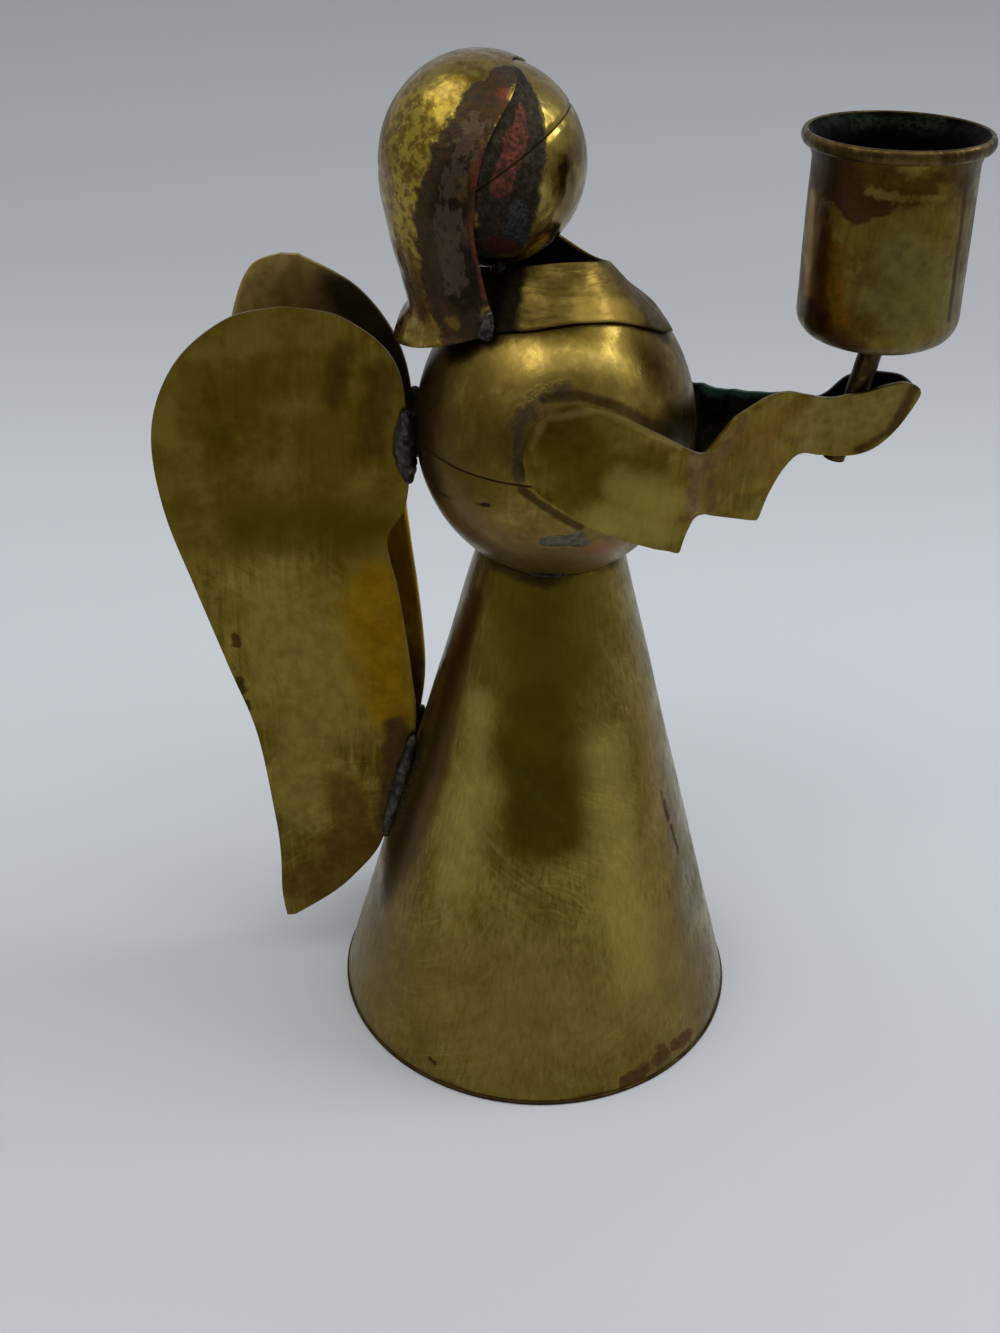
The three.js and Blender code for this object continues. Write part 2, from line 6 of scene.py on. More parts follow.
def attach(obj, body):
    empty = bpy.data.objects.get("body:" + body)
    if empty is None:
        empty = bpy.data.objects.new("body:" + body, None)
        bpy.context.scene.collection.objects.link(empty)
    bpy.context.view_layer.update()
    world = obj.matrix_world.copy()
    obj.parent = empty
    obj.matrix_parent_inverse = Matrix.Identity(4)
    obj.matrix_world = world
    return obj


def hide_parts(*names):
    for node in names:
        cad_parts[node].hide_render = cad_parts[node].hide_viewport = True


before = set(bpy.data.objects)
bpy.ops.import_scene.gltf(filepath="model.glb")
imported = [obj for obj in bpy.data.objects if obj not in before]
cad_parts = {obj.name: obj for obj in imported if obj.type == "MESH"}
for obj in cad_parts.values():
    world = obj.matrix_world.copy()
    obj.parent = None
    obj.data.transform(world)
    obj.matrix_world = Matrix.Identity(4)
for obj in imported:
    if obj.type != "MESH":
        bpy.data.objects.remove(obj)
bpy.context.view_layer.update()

mm = 0.001
around = 144    # steps round a turned piece


# places are in millimetres: forward, to the angel's right, up
def at(forward, right, up):
    return Vector((-right * mm, -forward * mm, up * mm))


def ring(radius, turn, height):
    return (radius * cos(turn), radius * sin(turn), height)


def turned(radius, turn, height):
    return at(*ring(radius, turn, height))


def newObject(name, data):
    thing = bpy.data.objects.new(name, data)
    bpy.context.scene.collection.objects.link(thing)
    return thing


def mix(a, b, t):
    return a + (b - a) * t


def clamp(x, low=0.0, high=1.0):
    return max(low, min(high, x))


def smoothStep(x, low, high):
    t = clamp((x - low) / (high - low))
    return t * t * (3 - 2 * t)


def wobble(spot, size, seed):
    # slow hand-made unevenness, between -1 and 1
    return noise.noise(Vector((spot[0] / size + seed, spot[1] / size - seed, spot[2] / size + 2 * seed)))


def through(stations, base=0.0):
    # a smooth curve through a few stations
    def slope(i):
        before = stations[max(i - 1, 0)]
        after = stations[min(i + 1, len(stations) - 1)]
        return (after[1] - before[1]) / (after[0] - before[0])

    def height(x):
        i = 0
        while i < len(stations) - 2 and x > stations[i + 1][0]:
            i += 1
        x0, y0 = stations[i]
        x1, y1 = stations[i + 1]
        span = x1 - x0
        t = clamp((x - x0) / span)
        a = 2 * t ** 3 - 3 * t ** 2 + 1
        b = t ** 3 - 2 * t ** 2 + t
        c = t ** 3 - t ** 2
        return base + a * y0 + (1 - a) * y1 + b * span * slope(i) + c * span * slope(i + 1)

    return height


def along(points):
    # a smooth line through points, from 0 to 1
    def spot(t):
        place = clamp(t) * (len(points) - 1)
        i = min(int(place), len(points) - 2)
        f = place - i
        p = [Vector(points[clamp(k, 0, len(points) - 1)]) for k in (i - 1, i, i + 1, i + 2)]
        return 0.5 * (
            2 * p[1] + (p[2] - p[0]) * f
            + (2 * p[0] - 5 * p[1] + 4 * p[2] - p[3]) * f ** 2
            + (3 * p[1] - p[0] - 3 * p[2] + p[3]) * f ** 3
        )

    return spot


def gridPiece(name, surface, columns, rows, node, wrap=False, inwards=False, crease=38):
    # surface(u, v) gives a point, u runs along the columns
    count = columns if wrap else columns + 1
    points = [surface(i / columns, j / rows) for j in range(rows + 1) for i in range(count)]
    faces = []
    for j in range(rows):
        for i in range(columns):
            k = (i + 1) % count
            face = (j * count + i, j * count + k, (j + 1) * count + k, (j + 1) * count + i)
            faces.append(face[::-1] if inwards else face)
    mesh = bpy.data.meshes.new(name)
    mesh.from_pydata(points, [], faces)
    mesh.validate()
    mesh.shade_smooth()
    mesh.set_sharp_from_angle(angle=radians(crease))
    piece = newObject(name, mesh)
    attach(piece, "root")
    if node:
        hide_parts(*([node] if isinstance(node, str) else node))
    return piece


def lathePiece(name, outline, placed, node, crease=38):
    # an outline of distances and heights, turned round its axis
    rows = len(outline) - 1

    def surface(u, v):
        radius, height = outline[round(v * rows)]
        return placed(radius, 2 * pi * u, height)

    return gridPiece(name, surface, around, rows, node, wrap=True, inwards=True, crease=crease)


def thicken(piece, sheet, side=0, edge=0.16, lined=False):
    solid = piece.modifiers.new("sheet thickness", "SOLIDIFY")
    solid.material_offset = 1 if lined else 0    # the inner side takes the second material
    solid.thickness = sheet * mm
    solid.offset = side
    solid.use_even_offset = True
    soft = piece.modifiers.new("worn edge", "BEVEL")
    soft.width = edge * mm
    soft.segments = 2
    soft.limit_method = "ANGLE"
    soft.angle_limit = radians(60)


# camera, light and floor

view = {"camera": (18.0, 248.5, 236.7), "lens": 45.9, "downAngle": 33.71, "turn": -6.0, "roll": 1.157}


def addCamera():
    down, turn, roll = (radians(view[angle]) for angle in ("downAngle", "turn", "roll"))

    def fromPhoto(x, y, z):
        forward = x * cos(turn) + y * sin(turn)
        right = x * sin(turn) - y * cos(turn)
        return Vector((-right, -forward, z))

    look = fromPhoto(0, cos(down), -sin(down))
    right = fromPhoto(1, 0, 0)
    below = fromPhoto(0, -sin(down), -cos(down))
    rightRolled = cos(roll) * right - sin(roll) * below
    belowRolled = sin(roll) * right + cos(roll) * below
    camera = bpy.data.cameras.new("camera")
    camera.lens = view["lens"]
    camera.sensor_fit = "VERTICAL"
    camera.sensor_height = 36
    camera.clip_start = 0.01
    camera.clip_end = 50
    holder = newObject("camera", camera)
    axes = Matrix((rightRolled, -belowRolled, -look)).transposed()
    holder.matrix_world = Matrix.Translation(at(*view["camera"])) @ axes.to_4x4()
    bpy.context.scene.camera = holder


addCamera()

light = {
    "sky": (0.515, 0.525, 0.545),
    "wall": (0.20, 0.205, 0.21),
    "window": {"around": 73, "rise": 66, "away": 900, "size": (1.2, 0.24), "power": 2.1, "colour": (1, 0.99, 0.96)},
    "tube": {"around": 166, "rise": 58, "away": 900, "size": (0.9, 0.45), "power": 2.4, "colour": (1, 0.99, 0.97)},
    "fill": {"around": -12, "rise": 42, "away": 1000, "size": (0.5, 0.5), "power": 4.8, "colour": (0.96, 0.98, 1)},
    # floor colours near, in the middle and far off: painted light, lighter in the middle and darker far away
    "floorNear": (0.505, 0.515, 0.535),
    "floorMiddle": (0.535, 0.56, 0.59),
    "floorFar": (0.405, 0.415, 0.43),
}


def addLamp(name, settings):
    lamp = bpy.data.lights.new(name, "AREA")
    lamp.shape = "RECTANGLE"
    lamp.size, lamp.size_y = settings["size"]
    lamp.energy = settings["power"]
    lamp.color = settings["colour"]
    holder = newObject(name, lamp)
    turn, rise, away = radians(settings["around"]), radians(settings["rise"]), settings["away"]
    middle = at(0, 0, 110)
    holder.location = middle + turned(away * cos(rise), turn, away * sin(rise))
    holder.rotation_euler = (middle - holder.location).to_track_quat("-Z", "Y").to_euler()


# node helpers

def feed(tree, node, values):
    for key, value in values.items():
        if isinstance(value, bpy.types.NodeSocket):
            tree.links.new(value, node.inputs[key])
        else:
            node.inputs[key].default_value = value


def put(tree, kind, values={}, **settings):
    node = tree.nodes.new(kind)
    for key, value in settings.items():
        setattr(node, key, value)
    feed(tree, node, values)
    return node


def sums(tree, what, a, b=0.0, c=0.0):
    return put(tree, "ShaderNodeMath", {0: a, 1: b, 2: c}, operation=what).outputs[0]


def times(tree, a, b):
    return sums(tree, "MULTIPLY", a, b)


def moves(tree, what, a, b=(0, 0, 0)):
    node = put(tree, "ShaderNodeVectorMath", {0: a, 1: b}, operation=what)
    return node.outputs["Value" if what in ("LENGTH", "DOT_PRODUCT", "DISTANCE") else "Vector"]


def spread(tree, value, low, high):
    # from 0 at low to 1 at high
    return put(tree, "ShaderNodeMapRange", {0: value, 1: low, 2: high}, interpolation_type="SMOOTHSTEP").outputs[0]


def blend(tree, share, a, b):
    a, b = (x if isinstance(x, bpy.types.NodeSocket) else (*x, 1) for x in (a, b))
    return put(tree, "ShaderNodeMix", {0: share, 6: a, 7: b}, data_type="RGBA").outputs[2]


def between(tree, share, a, b):
    return put(tree, "ShaderNodeMix", {0: share, 2: a, 3: b}, data_type="FLOAT").outputs[0]


def grainNoise(tree, spot, size, detail, stretch=(1, 1, 1), shift=0.0, twist=0.0, rough=0.55):
    scaled = moves(tree, "MULTIPLY", spot, tuple(1 / (size * s) for s in stretch))
    if shift:
        scaled = moves(tree, "ADD", scaled, (shift, 1.7 * shift, -shift))
    node = put(tree, "ShaderNodeTexNoise", {
        "Vector": scaled, "Scale": 1.0, "Detail": detail, "Roughness": rough, "Distortion": twist,
    })
    return node.outputs[0]


def newMaterial(name):
    material = bpy.data.materials.new(name)
    material.use_nodes = True
    tree = material.node_tree
    # the spot on the object as forward, right, up, in millimetres
    place = put(tree, "ShaderNodeTexCoord").outputs["Object"]
    mapping = {"Vector": place, "Rotation": (0, 0, pi / 2), "Scale": (-1000, 1000, 1000)}
    return material, tree, tree.nodes["Principled BSDF"], put(tree, "ShaderNodeMapping", mapping).outputs[0]


def nearStrokes(tree, spot, strokes):
    # smallest distance to any stroke, in stroke radii
    best = None
    for radius, *points in strokes:
        for start, end in zip(points, points[1:]):
            reach = Vector(end) - Vector(start)
            local = moves(tree, "SUBTRACT", spot, start)
            share = moves(tree, "DOT_PRODUCT", local, tuple(reach / reach.length_squared))
            share = sums(tree, "MINIMUM", sums(tree, "MAXIMUM", share, 0.0), 1.0)
            line = put(tree, "ShaderNodeVectorMath", {0: tuple(reach), "Scale": share}, operation="SCALE")
            local = moves(tree, "SUBTRACT", local, line.outputs["Vector"])
            far = sums(tree, "DIVIDE", moves(tree, "LENGTH", local), radius)
            best = far if best is None else sums(tree, "MINIMUM", best, far)
    return best


def seamNear(tree, spot, seam):
    # how close the spot is to a flat cut: normal, offset, half width
    normal, offset, width = seam
    away = sums(tree, "ABSOLUTE", sums(tree, "SUBTRACT", moves(tree, "DOT_PRODUCT", spot, normal), offset))
    return spread(tree, away, width, width * 0.25)


# floor and room

def addRoom():
    world = bpy.data.worlds.new("room")
    bpy.context.scene.world = world
    world.use_nodes = True
    tree = world.node_tree
    back = tree.nodes["Background"]
    way = put(tree, "ShaderNodeTexCoord").outputs["Generated"]
    # the wall behind the photographer is darker than the rest of the room
    facing = moves(tree, "DOT_PRODUCT", way, (-1, 0, 0.12))
    share = spread(tree, facing, 0.55, 0.92)
    tree.links.new(blend(tree, share, light["sky"], light["wall"]), back.inputs["Color"])
    for name in ("window", "tube", "fill"):
        addLamp(name, light[name])


def addFloor():
    half = 5.0    # metres
    corners = [(-half, -half, 0), (half, -half, 0), (half, half, 0), (-half, half, 0)]
    mesh = bpy.data.meshes.new("floor")
    mesh.from_pydata(corners, [], [(0, 1, 2, 3)])
    floor = newObject("floor", mesh)
    material, tree, shader, spot = newMaterial("pale table")
    deep = put(tree, "ShaderNodeSeparateXYZ", {0: spot}).outputs[1]
    # painted light: the floor's colour is lighter in the middle and darker far away
    colour = blend(tree, spread(tree, deep, 110, -90), light["floorNear"], light["floorMiddle"])
    colour = blend(tree, spread(tree, deep, -90, -390), colour, light["floorFar"])
    feed(tree, shader, {"Base Color": colour, "Roughness": 0.6, "Specular IOR Level": 0.25})
    mesh.materials.append(material)
    bpy.context.scene.view_settings.view_transform = "Standard"


addRoom()
addFloor()
print("camera, light and floor")


# aged brass

def seen(red, green, blue, glow=0.62):
    # the metal's own colour for one that is seen in soft room light
    def plain(x):
        x /= 255
        return x / 12.92 if x < 0.04045 else ((x + 0.055) / 1.055) ** 2.4
    return tuple(min(plain(x) / glow, 0.95) for x in (red, green, blue))


def stainAndPaintedLight(tone, strokes, **more):
    # a patch of another colour along strokes, each a radius and then its points; used for real stains and also for
    # painted highlights, reflections and shade
    return {"soft": 0.5, "ragged": 0.5, "grain": 3, "amount": 0.8, "stretch": (1, 1, 1), "fleck": 1.6,
            "flecks": (0.30, 0.72), **more, "tone": tone, "strokes": strokes}


# a look adds its four tones as seen in the photo: deep, base, bright and dark
plainLook = {
    "cloud": 20, "mottle": 4.5, "brushSize": 0.8, "brush": (1, 1, 14), "rough": (0.24, 0.42),
    "brightShare": 0.5, "darkShare": 0.6, "streakShare": 0.35, "glintShare": 0.3, "speckShare": 0.7,
    "dentSize": 7, "dent": 0.30, "wear": 0.05, "scratch": 0.02, "pit": (45, 32, 18), "gap": (35, 25, 14),
    "swirls": (), "patches": (), "seams": (),
}


def agedBrass(name, look):
    look = {**plainLook, **look}
    deep, base, bright, dark = (seen(*tone) for tone in look["tones"])
    material, tree, shader, spot = newMaterial(name)
    cloud = grainNoise(tree, spot, look["cloud"], 4, twist=0.8)
    mottle = grainNoise(tree, spot, look["mottle"], 6, shift=3.1, rough=0.62)
    brush = grainNoise(tree, spot, look["brushSize"], 4, stretch=look["brush"], shift=7.7)
    speck = grainNoise(tree, spot, 1.1, 3, shift=12.3, rough=0.7)
    colour = blend(tree, spread(tree, cloud, 0.38, 0.60), deep, base)
    shares = {}
    for share, source, low, high, tone in (
        ("brightShare", mottle, 0.50, 0.70, bright),
        ("darkShare", mottle, 0.47, 0.30, dark),
        ("streakShare", brush, 0.55, 0.30, dark),
        ("glintShare", brush, 0.58, 0.74, bright),
        ("speckShare", speck, 0.68, 0.74, seen(*look["pit"])),
    ):
        shares[share] = times(tree, spread(tree, source, low, high), look[share])
        colour = blend(tree, shares[share], colour, tone)
    for swirl in look["swirls"]:
        # fine arcs round a centre, left by a polishing wheel
        reach = moves(tree, "LENGTH", moves(tree, "SUBTRACT", spot, swirl["centre"]))
        parts = put(tree, "ShaderNodeSeparateXYZ", {0: spot}).outputs
        lines = put(tree, "ShaderNodeCombineXYZ", {
            0: sums(tree, "DIVIDE", reach, swirl.get("spacing", 0.55)),
            1: sums(tree, "DIVIDE", parts[2], 9),
            2: sums(tree, "DIVIDE", parts[1], 9),
        }).outputs[0]
        arcs = put(tree, "ShaderNodeTexNoise", {"Vector": lines, "Scale": 1.0, "Detail": 4.0, "Distortion": 1.3})
        area = spread(tree, nearStrokes(tree, spot, swirl["strokes"]), 1.5, 0.6)
        shine, shade = (
            times(tree, times(tree, spread(tree, arcs.outputs[0], *span), area), swirl["amount"])
            for span in ((0.54, 0.72), (0.46, 0.28))
        )
        colour = blend(tree, shine, colour, bright)
        colour = blend(tree, shade, colour, dark)
    rough = between(tree, spread(tree, mottle, 0.66, 0.34), *look["rough"])
    rough = sums(tree, "MULTIPLY_ADD", shares["streakShare"], 0.25, rough)
    metal = 1.0
    lumps = None
    for i, patch in enumerate(look["patches"]):
        far = nearStrokes(tree, spot, patch["strokes"])
        edge = grainNoise(tree, spot, patch["grain"], 5, shift=1.9 * i + 0.7, rough=0.62, stretch=patch["stretch"])
        far = sums(tree, "MULTIPLY_ADD", sums(tree, "SUBTRACT", edge, 0.5), 2.4 * patch["ragged"], far)
        mask = times(tree, spread(tree, far, 1 + patch["soft"], 1 - patch["soft"]), patch["amount"])
        tone = seen(*patch["tone"])
        if "tone2" in patch:
            flecks = grainNoise(tree, spot, patch["fleck"], 5, shift=5.3 + i, rough=0.65)
            tone = blend(tree, spread(tree, flecks, *patch["flecks"]), tone, seen(*patch["tone2"]))
        colour = blend(tree, mask, colour, tone)
        if "rough" in patch:
            rough = between(tree, mask, rough, patch["rough"])
        if "metal" in patch:
            metal = between(tree, mask, metal, patch["metal"])
        if "lump" in patch:
            crust = grainNoise(tree, spot, 0.9, 5, shift=2.2 + i, rough=0.7)
            raised = times(tree, times(tree, crust, mask), patch["lump"])
            lumps = raised if lumps is None else sums(tree, "ADD", lumps, raised)
    for seam in look["seams"]:
        line = seamNear(tree, spot, seam)
        colour = blend(tree, times(tree, line, 0.85), colour, seen(*look["gap"]))
        rough = between(tree, line, rough, 0.7)
    feed(tree, shader, {"Base Color": colour, "Roughness": rough, "Specular IOR Level": 0.3, "Metallic": metal})
    height = times(tree, grainNoise(tree, spot, look["dentSize"], 2, shift=9.1), look["dent"])
    height = sums(tree, "MULTIPLY_ADD", mottle, look["wear"], height)
    height = sums(tree, "MULTIPLY_ADD", brush, look["scratch"], height)
    if lumps is not None:
        height = sums(tree, "ADD", height, lumps)
    bump = put(tree, "ShaderNodeBump", {"Strength": 1.0, "Distance": mm, "Height": height})
    feed(tree, shader, {"Normal": bump.outputs[0]})
    return material


def finish(piece, *materials):
    for material in materials:
        piece.data.materials.append(material)


def dullSolder(name, deep, base):
    return agedBrass(name, {
        "tones": (deep, base, (92, 88, 78), (28, 27, 27)),
        "cloud": 3.0, "mottle": 1.1, "brightShare": 0.35, "darkShare": 0.9, "brush": (1, 1, 1), "brushSize": 0.5,
        "rough": (0.42, 0.7), "dent": 0.4, "dentSize": 2.4, "wear": 0.15, "scratch": 0.08,
    })


solderGrey = dullSolder("lead grey solder", (38, 36, 32), (58, 55, 48))
solderDark = dullSolder("smoked solder", (30, 27, 23), (48, 44, 37))


# skirt and its plate

skirt = {"radius": 37.0, "apex": 141.8, "sheet": 0.7, "foot": 0.85, "top": 96.4, "uneven": 0.25, "fuller": 0.12}

skirtLook = {
    "tones": ((78, 66, 18), (98, 86, 34), (124, 112, 54), (60, 46, 10)),
    "swirls": [
        {"centre": (4, 30, 34), "strokes": [(13, (14, 20, 50), (22, 26, 14))], "amount": 0.4},
        {"centre": (-30, 20, 46), "strokes": [(12, (-16, 20, 40), (-14, 28, 10))], "amount": 0.35},
        {"centre": (30, 10, 90), "strokes": [(14, (0, 14, 84), (4, 24, 46))], "amount": 0.35, "spacing": 0.8},
    ],
    "cloud": 26, "mottle": 7.5, "brush": (1, 1, 22), "brushSize": 0.65, "rough": (0.22, 0.38),
    "brightShare": 0.35, "darkShare": 0.4, "streakShare": 0.5, "glintShare": 0.5, "dent": 0.45, "dentSize": 14,
    "patches": [
        # painted reflection: with the stains at (0, 17, 74) and (-1, 13, 90) this makes the darker olive arch down
        # the middle of the skirt
        stainAndPaintedLight((74, 62, 15), [(13, (-4, 8, 104), (0, 14, 84))], tone2=(62, 50, 8), soft=0.7, ragged=0.3, grain=10,
            amount=0.75, fleck=8),
        # painted reflection: the lower part of the dark arch down the middle of the skirt
        stainAndPaintedLight((52, 43, 4), [(5, (0, 17, 74), (1, 20, 66)), (7.6, (1, 20, 66), (3, 24, 54))], tone2=(60, 51, 7),
            soft=0.32, ragged=0.16, grain=8, amount=0.88, rough=0.36, fleck=7, stretch=(1, 1, 2)),
        # painted reflection: a dark stripe near the skirt's left edge, standing in for the wing mirrored in it
        stainAndPaintedLight((50, 36, 2), [(2.4, (-11.5, 8, 88), (-14.5, 9, 77)), (3.2, (-14.5, 9, 77), (-17, 13, 59)),
            (3.8, (-17, 13.2, 58.6), (-19.7, 13.6, 49.7)), (4.2, (-19.7, 13.6, 49.7), (-24.3, 13.6, 35)),
            (2.8, (-24.3, 13.6, 35), (-27.5, 12.5, 26))], tone2=(64, 47, 4), soft=0.35, ragged=0.18, grain=8,
            amount=0.95, rough=0.3, fleck=7),
        # painted reflection: fills out the top of the dark arch down the middle of the skirt
        stainAndPaintedLight((70, 60, 12), [(6.5, (-1, 13, 90), (1, 18, 72))], ragged=0.3, grain=8, amount=0.5),
        stainAndPaintedLight((110, 98, 76), [(1.6, (-11.5, 2.5, 92), (-21, 1, 55))], soft=0.6, ragged=0.4, grain=4, amount=0.7),
        # painted reflection: lighter stripes to the left and right of the dark arch
        stainAndPaintedLight((138, 126, 62), [(2.6, (-9.5, 14.5, 72), (-10, 19, 58)), (4.2, (-10, 19, 58), (-13, 23, 40)),
            (4.2, (11, 17, 66), (17, 21, 40)), (4.5, (16, 22, 40), (22, 24, 22))], soft=0.95, grain=6, amount=0.42,
            stretch=(1, 1, 3)),
        stainAndPaintedLight((108, 84, 32), [(3, (18, 8, 70), (22, 12, 46)), (3.6, (22, 16, 44), (27, 18, 20))], soft=0.8, grain=5,
            amount=0.4, stretch=(1, 1, 3)),
        stainAndPaintedLight((96, 80, 40), [(14, (-28, 14, 12), (0, 32, 16)), (10, (0, 32, 14), (26, 20, 12))],
            tone2=(106, 90, 42), soft=0.8, ragged=0.4, grain=9, amount=0.5, rough=0.42, fleck=4),
        stainAndPaintedLight((56, 32, 14), [(1.5, (20, 30.5, 2), (23, 28.3, 2.5)), (1.9, (25.7, 25.6, 3.2), (26, 25.2, 3.6)),
            (1.5, (28.5, 22.5, 4), (31, 19.5, 3.5))], tone2=(80, 50, 24), soft=0.25, ragged=1, grain=2.2,
            amount=0.85, rough=0.55),
        stainAndPaintedLight((44, 28, 12), [(0.7, (22.6, 9, 52), (23.6, 8.6, 46)), (0.55, (24.2, 8.4, 44), (25.6, 8, 38)),
            (0.5, (-16, 32, 4.2), (-15, 32.5, 3.8))], soft=0.3, ragged=0.9, grain=1.4, amount=0.85, rough=0.6),
        stainAndPaintedLight((46, 33, 12), [(1.4, (-34, 10, 0), (-12, 35, 0)), (1.2, (-12, 35, 0), (14, 34.5, 0)),
            (1.4, (14, 34.5, 0), (36, 8, 0))], ragged=0.7, grain=2.5),
        stainAndPaintedLight((34, 24, 8), [(1.4, (-10, 8, 96.5), (0, 12.2, 95.6), (11, 5, 96.5))], soft=0.6, ragged=0.7, grain=2,
            rough=0.6),
    ],
}


def skirtRadiusAt(height):
    return skirt["radius"] * (1 - height / skirt["apex"])


def skirtSurface(u, v):
    turn = 2 * pi * u
    height = mix(skirt["foot"], skirt["top"], v)
    radius = skirtRadiusAt(height)
    spot = ring(radius, turn, height)
    radius += skirt["uneven"] * wobble(spot, 17, 3.1) * smoothStep(v, 0, 0.1) + skirt["fuller"]
    return turned(radius, turn, height)


skirtBrass = agedBrass("skirt brass", skirtLook)
skirtPiece = gridPiece("skirt_cone", skirtSurface, 160, 44, "skirt", wrap=True, inwards=True)
thicken(skirtPiece, skirt["sheet"], side=-1)
finish(skirtPiece, skirtBrass)

plate = {"radius": 37.15, "top": 0.8}
plateEdge = [
    (0, 0), (plate["radius"] - 0.25, 0), (plate["radius"], 0.2),
    (plate["radius"], plate["top"] - 0.15), (plate["radius"] - 0.25, plate["top"]), (0, plate["top"]),
]
platePiece = lathePiece("foot_plate", plateEdge, turned, "base_plate")
plateLook = {
    "tones": ((40, 30, 12), (50, 38, 16), (62, 48, 22), (30, 22, 9)),
    "cloud": 12, "mottle": 3, "brush": (9, 1, 1), "rough": (0.5, 0.7), "dent": 0.2,
}
finish(platePiece, agedBrass("foot plate brass", plateLook))
print("skirt")


# torso and head balls

torso = {"radius": 22.5, "tall": 25.1, "back": 0, "height": 117.7, "tilt": 0, "dent": 0.12}
head = {"radius": 15.0, "tall": 15.2, "back": 11.8, "height": 159.35, "tilt": -35.0, "dent": 0.08}
halfEdge = {"gap": 0.05, "roll": 0.16, "reach": 0.3}    # rolled in a little

torsoLook = {
    "tones": ((78, 64, 22), (104, 87, 38), (130, 112, 56), (58, 44, 12)),
    "cloud": 17, "mottle": 4.2, "brush": (1, 1, 4), "brightShare": 0.45, "darkShare": 0.5, "streakShare": 0.25,
    "rough": (0.26, 0.40), "dent": 0.14, "dentSize": 11, "wear": 0.04,
    "patches": [
        # painted highlight: a light band across the top of the torso
        stainAndPaintedLight((148, 128, 68), [(2.2, (-5, 15.4, 134.8), (9, 13.4, 135.2))], soft=0.9, ragged=0.6, grain=2.2,
            amount=0.3),
        # painted shade: darkens the spot where the back lamp's highlight falls
        stainAndPaintedLight((80, 64, 24), [(2.6, (-10.5, 14.4, 133), (-5.5, 15.8, 133.8))], soft=0.9, amount=0.6),
        stainAndPaintedLight((58, 46, 10), [(7, (-18, 10, 124), (-12, 19, 116)), (4, (-8, 20, 124), (2, 21, 122))],
            tone2=(72, 58, 16), ragged=0.4, grain=6, amount=0.75, fleck=3),
        stainAndPaintedLight((24, 16, 4), [(4.5, (-22, 4, 128), (-19.5, 11.5, 112))], tone2=(40, 28, 9), ragged=0.3, grain=6,
            amount=0.9, fleck=3),
        stainAndPaintedLight((112, 90, 52), [(6, (-12, 17, 106), (8, 19, 103))], tone2=(84, 68, 38), soft=0.6, ragged=0.6, grain=4,
            amount=0.65, rough=0.36, fleck=2.2),
        stainAndPaintedLight((38, 34, 24), [(1.7, (-1.5, 20.2, 131), (-4.2, 21.4, 126.5)),
            (0.9, (-4.2, 21.4, 126.5), (-3.4, 22.2, 118.8)), (1.2, (-1, 19.8, 132), (3, 18.6, 132.8))],
            tone2=(60, 52, 32), ragged=0.9, grain=1.7, amount=0.85, rough=0.6, lump=0.12),
        # painted shadow: a dark line along the arm plate's upper and lower edges, partly dark patina at the joint
        stainAndPaintedLight((32, 24, 12), [(0.8, (-0.2, 19.1, 130.7), (4.8, 18.3, 131.4), (10.8, 17, 129.1)),
            (0.9, (10.8, 17, 129.1), (16.1, 14.3, 125)), (1.5, (16.1, 14.3, 125), (21.5, 7, 120)),
            (0.7, (-3, 22.2, 117), (0.5, 22.3, 114.6), (5.9, 20.8, 110.6))], grain=2.2, amount=0.75, rough=0.5),
        stainAndPaintedLight((86, 82, 68), [(1.2, (1.2, 20.6, 107.6), (5.4, 20.4, 108.6)),
            (0.9, (3.8, 20.2, 107.4), (6.8, 19.6, 107))], tone2=(54, 50, 42), soft=0.2, ragged=0.9, grain=1.6,
            amount=0.95, rough=0.5, metal=0.7, lump=0.25, fleck=0.9),
        stainAndPaintedLight((104, 56, 28), [(1.5, (8, 18, 105.6), (11, 16, 104))], ragged=0.8, grain=1.6, amount=0.6),
        stainAndPaintedLight((26, 18, 8), [(0.4, (-16.5, 14.2, 111.1), (-8.3, 20.6, 113.2))], grain=1.2, amount=0.9, rough=0.7),
        # painted shadow: a dark line on the torso under the collar's lower edge
        stainAndPaintedLight((36, 26, 10), [(1.4, (-10.9, 11.8, 135.4), (2, 11.6, 139.4), (17, 2, 134.6))], soft=0.6, grain=2,
            rough=0.55),
        stainAndPaintedLight((32, 22, 8), [(1.1, (-12, 5, 98), (0, 13.6, 97.4), (13, 4, 98))], soft=0.6, ragged=0.6, grain=2,
            rough=0.6),
    ],
    "seams": [((0, 0, 1), torso["height"], 0.28)],
}

